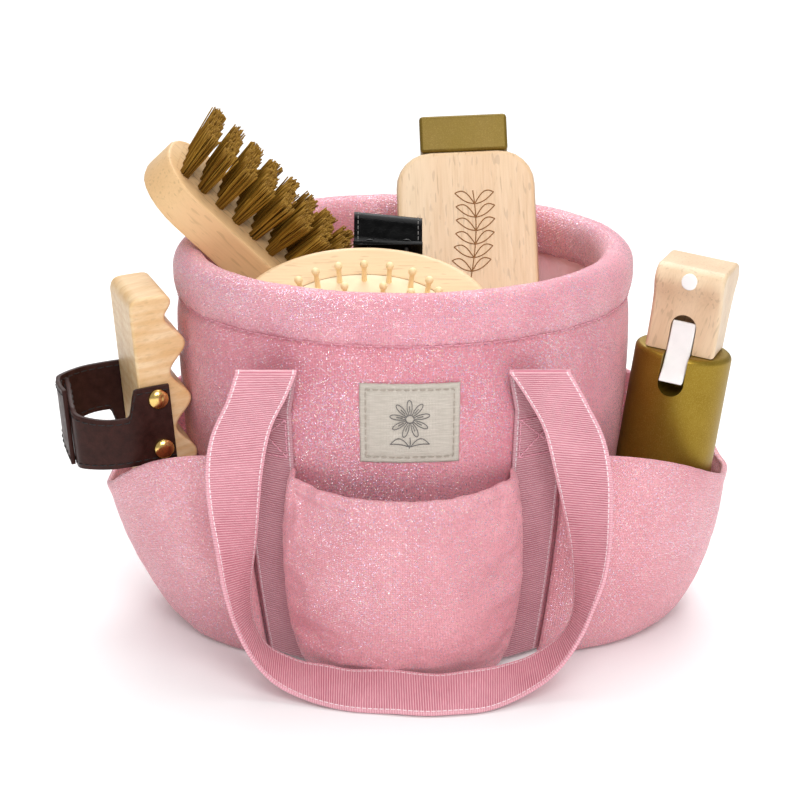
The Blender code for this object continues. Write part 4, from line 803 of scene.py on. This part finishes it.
# The front handle's middle line: X, Y, Z, the heading across it in degrees, and its tilt
HANDLE_STATIONS = (
    (-HANDLE_REACH, HANDLE_FOLD_Y, HANDLE_AXIS_Z, 180, 0.00),
    (-0.0600, -0.0986, 0.1270, 184, -0.06), (-0.0665, -0.0990, 0.1130, 190, -0.06),
    (-0.0695, -0.1000, 0.0970, 202, 0.05), (-0.0700, -0.1000, 0.0800, 217, 0.15),
    (-0.0695, -0.0998, 0.0620, 234, 0.22), (-0.0690, -0.0995, 0.0440, 248, 0.20),
    (-0.0660, -0.0995, 0.0270, 259, 0.12), (-0.0580, -0.1010, 0.0135, 267, -0.10),
    (-0.0450, -0.1060, 0.0072, 270, -0.26), (-0.0300, -0.1120, 0.0056, 270, -0.33),
    (-0.0130, -0.1165, 0.0054, 270, -0.34), (0.0050, -0.1190, 0.0054, 270, -0.34),
    (0.0220, -0.1185, 0.0055, 270, -0.33), (0.0380, -0.1140, 0.0060, 270, -0.30),
    (0.0530, -0.1060, 0.0085, 271, -0.20), (0.0660, -0.1010, 0.0165, 274, -0.04),
    (0.0735, -0.0995, 0.0290, 281, 0.12), (0.0770, -0.0995, 0.0440, 292, 0.20),
    (0.0780, -0.0998, 0.0610, 306, 0.22), (0.0765, -0.1000, 0.0790, 322, 0.15),
    (0.0740, -0.1000, 0.0965, 338, 0.05), (0.0700, -0.0990, 0.1130, 350, -0.06),
    (0.0625, -0.0986, 0.1275, 356, -0.06), (HANDLE_REACH, HANDLE_FOLD_Y, HANDLE_AXIS_Z, 360, 0.00),
)


def ribbon(name, rows, material, body, thickness, replaces, slot, width=TAPE_WIDTH, segments=10, matrix=None,
           edges=None):
    """A strap from rows of (centre, half-width vector), with UVs in metres: across, then along."""
    lengths = [0.0]
    for (a, _), (b, _) in zip(rows, rows[1:]):
        lengths.append(lengths[-1] + (b - a).length)
    last = len(rows) - 1

    def strap(u, v):
        centre, across = rows[round(v * last)]
        return centre + across * (2 * u - 1)

    piece = surface(name, last, segments, strap, lambda u, v: ((u - 0.5) * width, lengths[round(v * last)]),
                    material, body, matrix, replaces, slot, 60, close=False)
    thicken(piece, thickness, 0)
    rounded(piece, *(edges or (thickness * 0.3,)))


def make_tape(node, centre):
    """A tape that follows the round wall, then leaves it for the handle's fold."""
    turn = radians(centre)
    front, side = copysign(1, cos(turn)), copysign(1, sin(turn))
    rows = []
    for i in range(TAPE_ROWS + 1):
        z = TAPE_FOOT + (TAPE_BEND - TAPE_FOOT) * i / TAPE_ROWS
        rows.append((around(centre, wall_radius(z) + TAPE_LIFT, z),
                     Vector((cos(turn), sin(turn), 0)) * TAPE_WIDTH / 2))
    last, across = rows[-1]
    end = Vector((side * HANDLE_REACH, -front * (HANDLE_AXIS_Y - 0.0011), HANDLE_AXIS_Z - 0.0014))
    end_across = Vector((front * TAPE_WIDTH / 2, 0, 0))
    rows += [(last.lerp(end, i / LOOSE_ROWS), across.lerp(end_across, i / LOOSE_ROWS))
             for i in range(1, LOOSE_ROWS + 1)]

    def tape(u, v):
        row = v * (len(rows) - 1)
        spot, across = rows[round(row)]
        p = spot + across * (2 * u - 1)
        if row <= TAPE_ROWS:
            p.xy = p.xy.normalized() * (wall_radius(p.z) + TAPE_LIFT)
        return p

    piece = surface(node + "_ribbon", len(rows) - 1, 12, tape,
                    lambda u, v: ((u - 0.5) * TAPE_WIDTH, v * 0.14), TAPE_WEBBING_PAINTED_SHADE, "bag", None, (node,),
                    "pink_webbing", 60, close=False)
    thicken(piece, 0.0012, 0)
    rounded(piece, 0.00035)


def box_stitch(name, centre):
    """A sewn box with a cross where each tape takes the handle's pull."""
    low, high, half = 0.0985, 0.1150, 0.0098

    def line(x0, z0, x1, z1):
        route = []
        for i in range(9):
            x, z = x0 + (x1 - x0) * i / 8, z0 + (z1 - z0) * i / 8
            route.append(around(centre + degrees(x / wall_radius(z)), wall_radius(z) + 0.0020, z))
        return route

    corners = ((-half, low), (half, low), (half, high), (-half, high))
    box = sum((line(*a, *b) for a, b in zip(corners, corners[1:] + corners[:1])), [])
    for end, path in (("", box), ("_cross", line(-half, low, half, high)),
                      ("_back", line(half, low, -half, high))):
        stitches(name + end, path, around(centre, 1.0, 0.0), THREAD, 0.0024, 0.0008, 0.00026)


def handle_rows(turn):
    """The handle's strap, with a small roll round the hinge line at both ends."""
    rows = []
    for number, (x, y, z, heading, tilt) in enumerate(smooth_route(HANDLE_STATIONS, HANDLE_ROWS)):
        free = sin(pi * number / HANDLE_ROWS) ** 0.5
        y += 0.0014 * free * wave(number * 0.11, 4.0)
        z += 0.0006 * free * (wave(number * 0.13, 9.0) + 0.5)
        tilt += 0.10 * free * wave(number * 0.14, 1.5)
        angle = radians(heading + 5.0 * free * wave(number * 0.10, 6.5))
        across = Vector((cos(angle), sin(angle), tilt)).normalized() * TAPE_WIDTH / 2
        rows.append((Vector((x, y, z)), across))
    roll = arc(-HANDLE_AXIS_Y, HANDLE_AXIS_Z, 0.00105, (158, 136, 114))
    start, end = ([(Vector((sign * HANDLE_REACH, y, z)), across) for y, z in roll]
                  for sign, (_, across) in ((-1, rows[0]), (1, rows[-1])))
    spin = spun(turn, "Z")
    return [(spin @ centre, spin.to_3x3() @ across) for centre, across in start[::-1] + rows + end]


def make_webbing():
    for node, centre in (("front_left_tape", -TAPE_ANGLE), ("front_right_tape", TAPE_ANGLE),
                         ("back_right_tape", 180 - TAPE_ANGLE), ("back_left_tape", 180 + TAPE_ANGLE)):
        make_tape(node, centre)
        box_stitch(node + "_stitching", centre)
    for node, turn in (("front_handle", 0), ("back_handle", 180)):
        ribbon(node + "_strap", handle_rows(turn), WEBBING, node, 0.0014, (node,), "pink_webbing")


# Patch, with a plain daisy and two leaves
PATCH_CENTRE_X = 0.0028
PATCH_HALF_X, PATCH_HALF_Z = 0.0208, 0.0172
PATCH_Z = 0.117
PATCH_SEAM = 0.0026
DAISY_Z = 0.0022
LEAF_Z = -0.0098


def on_patch(x, z, lift=0.0):
    angle = degrees((PATCH_CENTRE_X + x) / 0.100)
    return around(angle, wall_radius(PATCH_Z + z) + 0.0006 + lift, PATCH_Z + z)


def make_patch():
    def cloth(u, v):
        x = (2 * u - 1) * PATCH_HALF_X
        z = (2 * v - 1) * PATCH_HALF_Z
        inset = min(PATCH_HALF_X - abs(x), PATCH_HALF_Z - abs(z))
        puff = 0.0009 * min(inset / 0.0045, 1.0) ** 0.5 - 0.0004 * bell(inset, PATCH_SEAM, 0.0009)
        edge = 0.00018 * wave(x * 900, z * 900) if inset < 0.0004 else 0.0
        return on_patch(x + edge, z + edge, puff + 0.0002 * wave(x * 120, z * 120))

    piece = surface("label_cloth", 44, 54, cloth, spread(2 * PATCH_HALF_X, 2 * PATCH_HALF_Z), CANVAS,
                    replaces=("label_patch",), slot="label_cloth", close=False)
    thicken(piece, 0.0007)
    w, h = PATCH_HALF_X - PATCH_SEAM, PATCH_HALF_Z - PATCH_SEAM
    corners = ((-w, -h), (w, -h), (w, h), (-w, h), (-w, -h))
    path = [on_patch(x0 + (x1 - x0) * i / 12, z0 + (z1 - z0) * i / 12, 0.0007)
            for (x0, z0), (x1, z1) in zip(corners, corners[1:]) for i in range(12)]
    stitches("label_stitching", path + path[:1], Vector((0, -1, 0)), CANVAS_THREAD, 0.0021, 0.0011, 0.00021)
    lines = []
    for k in range(9):
        turn = tau * k / 9 + 0.2
        petal = []
        for i in range(15):
            t = i / 14
            reach = 0.0018 + 0.0064 * sin(pi * t) ** 0.65
            petal.append((reach, turn + 0.52 * (t - 0.5) * (1.0 if 0 < i < 14 else 0.7)))
        for line in (petal, [(reach, turn) for reach in (0.0030, 0.0044, 0.0056)]):
            lines.append([(reach * cos(swing), reach * sin(swing) + DAISY_Z)
                          for reach, swing in line])
    lines.append(arc(0, DAISY_Z, 0.0017, [22.5 * i for i in range(17)]))
    lines.append([(0.0002 * sin(i), -0.0058 - 0.0012 * i) for i in range(5)])
    for side in (-1, 1):
        rise = [(t, 0.0030 * sin(pi * t) + 0.0010 * t) for t in (i / 12 for i in range(13))]
        spots = [side * (0.0003 + 0.0078 * t) for t, _ in rise]
        lines.append([(x, LEAF_Z + z) for x, (_, z) in zip(spots, rise)])
        lines.append([(x, LEAF_Z + z * 0.15 + 0.0009 * t) for x, (t, z) in zip(spots, rise)])
    drawing("label_drawing", [[on_patch(x, z, 0.00118) for x, z in line] for line in lines], 0.00016, 1, INK)


# Bristle brush
BRUSH_FACE = 0.0085
TUFT_SHIFT = -0.0183
TUFT_COLUMNS, TUFT_ROWS, TUFT_STRANDS = 8, 4, 60
TUFT_PITCH_X, TUFT_PITCH_Y, TUFT_RADIUS = 0.0102, 0.0086, 0.0027
STRAND_RINGS = ((0.0, 0.00040), (0.5, 0.00042), (0.85, 0.00042), (1.0, 0.00036))


def make_bristle_brush():
    place = PLACES["bristle_brush"]
    light, dark = (0.88, 0.61, 0.33), (0.76, 0.47, 0.22)
    dress("bristle_brush_block", wood_finish("brush_beech", light, dark, place, 0, 0.3), "bristle_brush", 30)
    half_x, half_y = 3.5 * TUFT_PITCH_X + 0.0046, 1.5 * TUFT_PITCH_Y + 0.0046
    show("tuft_slice", rounded_plate("tuft_slice", half_x, half_y, 0.005, 0.003),
         wood_finish("slice_beech", light, dark, None, 0), "bristle_brush",
         place @ Matrix.Translation((TUFT_SHIFT, 0, BRUSH_FACE - 0.0016)), slot="pale_wood", angle=30)
    verts, faces, uvs = [], [], []
    for column in range(TUFT_COLUMNS):
        for row in range(TUFT_ROWS):
            centre = Vector(((column - 3.5) * TUFT_PITCH_X, (row - 1.5) * TUFT_PITCH_Y, 0))
            for _ in range(TUFT_STRANDS):
                strand(verts, faces, uvs, centre)
    mesh = bpy.data.meshes.new("tufts")
    mesh.from_pydata(verts, [], faces)
    for loop, uv in zip(mesh.loops, mesh.uv_layers.new(name="flat").data):
        uv.uv = uvs[loop.vertex_index]
    show("tufts", mesh, BRISTLE, "bristle_brush", place @ Matrix.Translation((TUFT_SHIFT, 0, BRUSH_FACE)),
         ("bristles",), "bristle")


def strand(verts, faces, uvs, centre):
    """One tapered bristle of a tuft, slightly bent, with its random tone and its height in the UVs."""
    turn = random.random() * tau
    offset = Vector((cos(turn), sin(turn), 0)) * TUFT_RADIUS * sqrt(random.random())
    length = 0.0222 + random.uniform(-0.0009, 0.0007)
    base = centre + offset * 0.82
    tip = Vector((centre.x * 1.10, centre.y * 1.06, length)) + offset * random.uniform(1.15, 1.6)
    bend = Vector((random.uniform(-1, 1), random.uniform(-1, 1), 0)) * 0.0006
    tone = random.random()
    start = len(verts)
    for share, radius in STRAND_RINGS:
        spot = base.lerp(tip, share) + bend * sin(pi * share)
        for k in range(3):
            angle = turn + tau * k / 3
            verts.append((spot.x + radius * cos(angle), spot.y + radius * sin(angle), spot.z))
            uvs.append((tone, share))
    top = len(verts) - 3
    for a in range(start, top, 3):
        faces.extend((a + k, a + (k + 1) % 3, a + 3 + (k + 1) % 3, a + 3 + k) for k in range(3))
    faces.append((top, top + 1, top + 2))


def rounded_plate(name, half_x, half_y, radius, thickness):
    points = []
    for sign_x, sign_y, start in ((1, 1, 0), (-1, 1, 90), (-1, -1, 180), (1, -1, 270)):
        points += arc(sign_x * (half_x - radius), sign_y * (half_y - radius), radius,
                      [start + 90 * i / 8 for i in range(9)])
    return extruded(name, points, thickness / 2, 2, 0)


# Pin brush
OVAL_X, OVAL_Y = 0.055, 0.035
PAD_X, PAD_Y, PAD_TOP = 0.0354, 0.0192, 0.0082
PIN_RINGS = ((0.0306, 0.0160, 18), (0.0205, 0.0055, 8))
PIN_PROFILE = [(0.0014, 0.0), (0.00115, 0.0012), (0.00105, 0.0070), (0.0011, 0.0092)]
PIN_PROFILE += arc(0, 0.0108, 0.0018, (-50, -25, 0, 25, 50, 72))


def make_pin_brush():
    place = PLACES["pin_brush"]
    wood = wood_finish("pin_brush_beech", (0.88, 0.65, 0.39), (0.76, 0.49, 0.25), place, 0, 0.3)
    section = [(0.0001, 0.0001, -0.008), (0.030, 0.018, -0.008), (0.0520, 0.0320, -0.008),
               (0.0541, 0.0341, -0.0071), (OVAL_X, OVAL_Y, -0.005), (OVAL_X, OVAL_Y, 0.0045)]
    section += [(OVAL_X - 0.0035 + out, OVAL_Y - 0.0035 + out, z)
                for z, out in arc(0.0045, 0, 0.0035, range(80, -1, -10))]
    section += [(0.0440, 0.0270, 0.008), (0.0362, 0.0200, 0.0080), (0.0356, 0.0194, 0.0077),
                (0.0355, 0.0193, 0.0050), (0.0001, 0.0001, 0.0050)]
    last = len(section) - 1
    levelled(surface("oval_block", last, 160, lambda u, v: turned(u, *section[round(v * last)]), same, wood,
                     "pin_brush", place, ("pin_brush_block",), "pale_wood"))
    top = place @ Matrix.Translation((0, 0, PAD_TOP))

    def pad(u, v):
        v = max(v, 0.001)
        return turned(u, PAD_X * v, PAD_Y * v,
                      0.0008 * (1 - v ** 2) - 0.0006 * v ** 24 + 0.00008 * wave(v * 30, u * 40))

    surface("pad_skin", 14, 72, pad, same, CREAM, "pin_brush", top, ("pin_pad",), "cream_pad", flip=True)
    pin_wood = wood_finish("pin_wood", (0.98, 0.84, 0.52), (0.94, 0.74, 0.38), place, 2, 0.0, 60.0)
    build = bmesh.new()
    for ring_x, ring_y, count in PIN_RINGS:
        for k in range(count):
            x, y, _ = turned((k + 0.5) / count, ring_x, ring_y)
            lean = Matrix.Shear("XY", 4, (x * 4.0, y * 4.0))
            turned_into(build, PIN_PROFILE, Matrix.Translation((x, y, -0.0004)) @ lean)
    show("turned_pins", built("turned_pins", build), pin_wood, "pin_brush", top, slot="pale_wood")
    palm_loop(place)
    for i in range(1, 5):
        dress(f"strap_tack_{i}", BLACK_NAIL, "pin_brush", 60)


def palm_loop(place):
    """Soft black strap round the back of the hand, its edges stitched."""
    edge = OVAL_Y + 0.0012
    out, deep = edge + 0.0225, -0.0336
    stations = ((edge + 0.0004, 0.0070), (edge + 0.0005, 0.0035), (edge + 0.0010, 0.0),
                (edge + 0.0080, -0.0030), (out - 0.0035, -0.0010), (out - 0.0002, -0.0060),
                (out - 0.0055, -0.0170), (edge * 0.85, deep + 0.0060), (edge * 0.30, deep),
                (-edge * 0.30, deep), (-edge * 0.72, deep + 0.0080), (-edge - 0.0010, -0.0120),
                (-edge - 0.0008, -0.0040), (-edge - 0.0004, 0.0070))
    rows = []
    for number, (y, z) in enumerate(smooth_route(stations, 120)):
        slant = sin(pi * min(number / 70, 1.0)) * 0.10
        rows.append((Vector((0.010, y, z)), Vector((1.0, -slant, -slant * 0.3)).normalized() * 0.015))
    ribbon("palm_leather", rows, BLACK_LEATHER, "pin_brush", 0.0018, ("palm_strap",), "black_leather", 0.030,
           10, place, (0.0007, 3))
    for sign in (-1, 1):
        edge_stitches(f"palm_thread_{sign + 1}", rows[1:-1], lambda across: across * sign * 0.88,
                      Vector((1, 0, 0)), 0.00095, GREY_THREAD, 0.0016, 0.0009, 0.00019, "pin_brush", place)


# Flat bottle, with a plain sprig burnt into its face
def make_bottle():
    place = PLACES["flat_bottle"]
    wood = wood_finish("bottle_pine", (0.90, 0.69, 0.45), (0.79, 0.53, 0.30), place, 2, 0.35)
    for node, material in (("bottle_body", wood), ("bottle_cap", CAP_GOLD), ("bottle_dowel", wood)):
        dress(node, material, "flat_bottle", 30)
    stem = [(0.0040 * sin(i * 0.16), 0.026 + 0.0031 * i) for i in range(15)]
    lines = [stem]
    for x, z in stem[2:14:2]:
        for side in (-1, 1):
            for bow in (0.0030, -0.0012):
                lines.append([(x + side * 0.0088 * t, z + bow * sin(pi * t) + 0.0052 * t)
                              for t in (i / 10 for i in range(11))])
    drawing("burnt_sprig", [[(x, -0.0125, z) for x, z in line] for line in lines], 0.00028, 1, SCORCH,
            "flat_bottle", place)


# Curry comb
STRAP_Z = 0.0650
STRAP_HALF = 0.0170
COMB_SIDE = 0.0233
STRAP_REACH = -0.0275
RIVET_X, RIVET_Y, RIVET_RISE, RIVET_RADIUS = 0.0076, 0.0245, 0.01125, 0.0044
TOOTH_MIDDLE, TOOTH_DEPTH, TOOTH_TOP, TOOTH_PITCH = 0.01885, 0.00385, 0.0985, 0.0248
COMB_HALF, COMB_EDGE = 0.022, 0.0016
TAB_END, TAB_BLEND = 0.0062, 0.0042


def strap_half(node, stations, side, place):
    """Half of the hand strap: a wide riveted tab that narrows towards the hand, stitched along its edges."""
    rows = []
    for number, (x, y) in enumerate(smooth_route(stations, 90)):
        tab = min(max((x + TAB_END) / TAB_BLEND, 0.0), 1.0)
        tab = tab * tab * (3 - 2 * tab)
        end = max(0.0, (number / 90 - 0.62) / 0.38) ** 1.5
        waist = (1 - tab) * (1 - end)
        edge = STRAP_HALF - waist * (0.0078 + 0.0042 * sin(pi * min(number / 60, 1.0)))
        low, high = (-STRAP_HALF, edge) if side > 0 else (-edge, STRAP_HALF)
        rows.append((Vector((x, y, STRAP_Z + (low + high) / 2)), Vector((0, 0, (high - low) / 2))))
    ribbon(node + "_leather", rows, BROWN_LEATHER, "curry_comb", 0.0020, (node,), "brown_leather",
           2 * STRAP_HALF, 8, place, (0.0005,))
    for rim, sign in (("top", 1), ("foot", -1)):
        for face in (-1, 1):
            edge_stitches(f"{node}_{rim}_thread_{face + 1}", rows,
                          lambda up: up * sign - Vector((0, 0, 0.0021 * sign)), Vector((0, 0, -face)),
                          0.00105, DARK_THREAD, 0.0028, 0.0010, 0.00024, "curry_comb", place)


def make_comb():
    place = PLACES["curry_comb"]
    wood = wood_finish("comb_beech", (0.92, 0.70, 0.43), (0.76, 0.47, 0.20), place, 0, 0.15, 120.0, 2, 0.55)
    outline = [(0.0, 0.0), (0.0150, 0.0)]
    for i in range(105):
        z = 0.0117 + 0.0992 * i / 104
        outline.append((TOOTH_MIDDLE + TOOTH_DEPTH * cos(tau * (z - TOOTH_TOP) / TOOTH_PITCH), z))
    outline += smooth_route(((0.0150, 0.1109), (0.0157, 0.1127), (0.0173, 0.1149), (0.0184, 0.1172),
                             (0.0177, 0.1195), (0.0158, 0.1207), (0.0130, 0.1210)), 24)[1:]
    outline += smooth_route(((0.0052, 0.1210), (0.0026, 0.1204), (0.0008, 0.1186), (0.0, 0.1160)), 9)
    block = extruded("comb_wood", outline, COMB_HALF, 1, COMB_EDGE)
    levelled(show("comb_wood", block, wood, "curry_comb", place, ("comb_block",), "pale_wood"))
    edge, far = COMB_SIDE, STRAP_REACH
    near = ((0.0130, -edge), (0.0060, -edge), (-0.0060, -edge - 0.0008), (far * 0.62, -edge + 0.0010),
            (far * 0.96, -edge + 0.0080), (far, -edge * 0.35), (far + 0.0012, edge * 0.10),
            (far + 0.0020, edge * 0.42))
    distant = ((0.0130, edge), (0.0060, edge), (-0.0060, edge + 0.0008), (far * 0.62, edge - 0.0005),
               (far * 0.98, edge - 0.0070), (far - 0.0019, edge * 0.42), (far - 0.0027, edge * 0.05),
               (far - 0.0023, -edge * 0.35))
    strap_half("comb_strap_near", near, 1, place)
    strap_half("comb_strap_far", distant, -1, place)
    for i, (side, rise) in enumerate(((-1, -1), (-1, 1), (1, -1), (1, 1)), 1):
        domed_rivet(f"comb_rivet_{i}", place, side, STRAP_Z + RIVET_RISE * rise)


def domed_rivet(node, place, side, z):
    """A round polished head that sits on the strap's tab."""
    build = bmesh.new()
    profile = [(RIVET_RADIUS, -0.0002), (RIVET_RADIUS + 0.0001, 0.0003)]
    profile += [(RIVET_RADIUS * cos(radians(a)), 0.0004 + 0.0021 * sin(radians(a)))
                for a in range(6, 90, 7)]
    turned_into(build, profile + [(0.0001, 0.0025)], spun(-90 * side, "X"), 40)
    show(node + "_head", built(node + "_head", build), BRASS, "curry_comb",
         place @ Matrix.Translation((RIVET_X, side * RIVET_Y, z)), (node,), "brass")


# Spray bottle
BODY_TOP = 0.098
HEAD_FOOT = 0.0983
HEAD_SIZE, HEAD_HALF, HEAD_EDGE = 0.039, 0.0155, 0.0018
BODY_RADIUS = 0.0215
NOTCH_TURN = BODY_TOP - 0.0123
SLOT_TURN = HEAD_FOOT + 0.0115


def spray_cylinder(place):
    """The turned body with rounded edges, and the round-ended notch that the trigger swings in."""
    profile = [(0.0001, 0.0), (BODY_RADIUS - 0.0013, 0.0), (BODY_RADIUS, 0.0013), (BODY_RADIUS, 0.040),
               (BODY_RADIUS, 0.070)]
    profile += arc(BODY_RADIUS - 0.0025, BODY_TOP - 0.0025, 0.0025, range(0, 90, 15))
    profile += [(0.0186, BODY_TOP), (0.0001, BODY_TOP)]
    last = len(profile) - 1

    def turning(u, v):
        radius, z = profile[round(v * last)]
        return turned(u, radius, radius, z)

    body = surface("spray_cylinder", last, 160, turning, same, GOLD, "spray_bottle", place, ("spray_body",),
                   "gold_paint", 40)
    notch = [(-SLOT_HALF, BODY_TOP + 0.006), (-SLOT_HALF, NOTCH_TURN)]
    notch += arc(0, NOTCH_TURN, SLOT_HALF, range(190, 351, 10))
    carved(body, notch + [(SLOT_HALF, NOTCH_TURN), (SLOT_HALF, BODY_TOP + 0.006)], place)


def spray_block(wood, place):
    """The head: a cove under a round brow in front, a sloping back, and the trigger's slot."""
    shares = [(0.277, 0.0), (0.308, 0.308), (0.379, 0.590)]
    shares += arc(0.287, 0.795, 0.205, (-4, 26, 56, 86))
    shares += [(y, 1.0) for y in (0.17, 0.04, -0.09, -0.20, -0.29)]
    shares += arc(-0.359, 0.841, 0.159, (96, 130, 164, 198))
    shares += [(-0.405, 0.615), (-0.359, 0.436), (-0.341, 0.231), (-0.338, 0.0)]
    outline = [(y * HEAD_SIZE, HEAD_FOOT + z * HEAD_SIZE) for y, z in smooth_route(shares, 84)]
    head = extruded("spray_block", outline, HEAD_HALF, 0, HEAD_EDGE)
    block = show("spray_block", head, wood, "spray_bottle", place, ("spray_head",), "pale_wood")
    slot = [(-SLOT_HALF, HEAD_FOOT - 0.004), (SLOT_HALF, HEAD_FOOT - 0.004)]
    carved(block, slot + arc(0, SLOT_TURN, SLOT_HALF, range(0, 181, 10)), place, "FAST")


def make_spray_bottle():
    place = PLACES["spray_bottle"]
    wood = wood_finish("head_beech", (0.87, 0.68, 0.46), (0.70, 0.48, 0.29), place, 2, 0.3, 34.0)
    spray_cylinder(place)
    spray_block(wood, place)
    dress("spray_dowel", wood, "spray_bottle")
    dress("nozzle", WHITE, "spray_bottle", bevel=0.0005)
    dress("trigger", WHITE, "trigger")
    dress("trigger_pin", STEEL, "spray_bottle")
    dress("trigger_spring", STEEL, "spray_bottle")


# Studio, with lamps as name, place, target, size and power
LAMPS = (
    ("overhead", (0.10, 0.30, 1.4), (0, 0, 0.08), 1.2, 12.0),
    ("key", (0.20, -1.42, 1.15), (0, 0, 0.08), 0.8, 15.5),
    ("backdrop", (0.0, 3.0, 2.4), (0, 2.6, 0.08), 2.6, 60.0),
)
CAMERA_PLACE, CAMERA_TARGET = (0.0, -1.1488, 0.4438), (0, 0, 0.097)


def aimed(name, data, place, target):
    piece = linked(name, data)
    piece.location = place
    piece.rotation_euler = (Vector(target) - piece.location).to_track_quat("-Z", "Y").to_euler()
    return piece


def make_studio():
    mesh = bpy.data.meshes.new("studio_floor")
    mesh.from_pydata([(-9, -9, 0), (9, -9, 0), (9, 9, 0), (-9, 9, 0)], [], [(0, 1, 2, 3)])
    paper = Finish("white_paper", (0.95, 0.95, 0.95), 0.85, Emission_Color=(1.0, 1.0, 1.0, 1.0),
                   Emission_Strength=0.09)
    fibre = paper.noise(paper.coordinates(), 300.0)
    mesh.materials.append(paper.finish(Roughness=paper.span(fibre, 0.3, 0.7, 0.8, 0.9)))
    linked("studio_floor", mesh)
    world = bpy.data.worlds.new("studio")
    bpy.context.scene.world = world
    world.use_nodes = True
    sky = world.node_tree.nodes["Background"]
    sky.inputs[0].default_value = (1.0, 1.0, 1.0, 1.0)
    sky.inputs[1].default_value = 0.42
    for name, place, target, size, power in LAMPS:
        light = bpy.data.lights.new(name, "AREA")
        light.shape = "SQUARE"
        light.size = size
        light.energy = power
        aimed(name, light, place, target)
    camera = bpy.data.cameras.new("camera")
    camera.lens = 120.6
    camera.sensor_width = 36.0
    camera.shift_x = -3 / 800
    bpy.context.scene.camera = aimed("camera", camera, CAMERA_PLACE, CAMERA_TARGET)
    bpy.context.scene.view_settings.view_transform = "Standard"


make_pockets()
make_wall()
make_rim()
make_lining()
make_webbing()
make_patch()
make_bristle_brush()
make_pin_brush()
make_bottle()
make_comb()
make_spray_bottle()
make_studio()

bpy.context.view_layer.update()
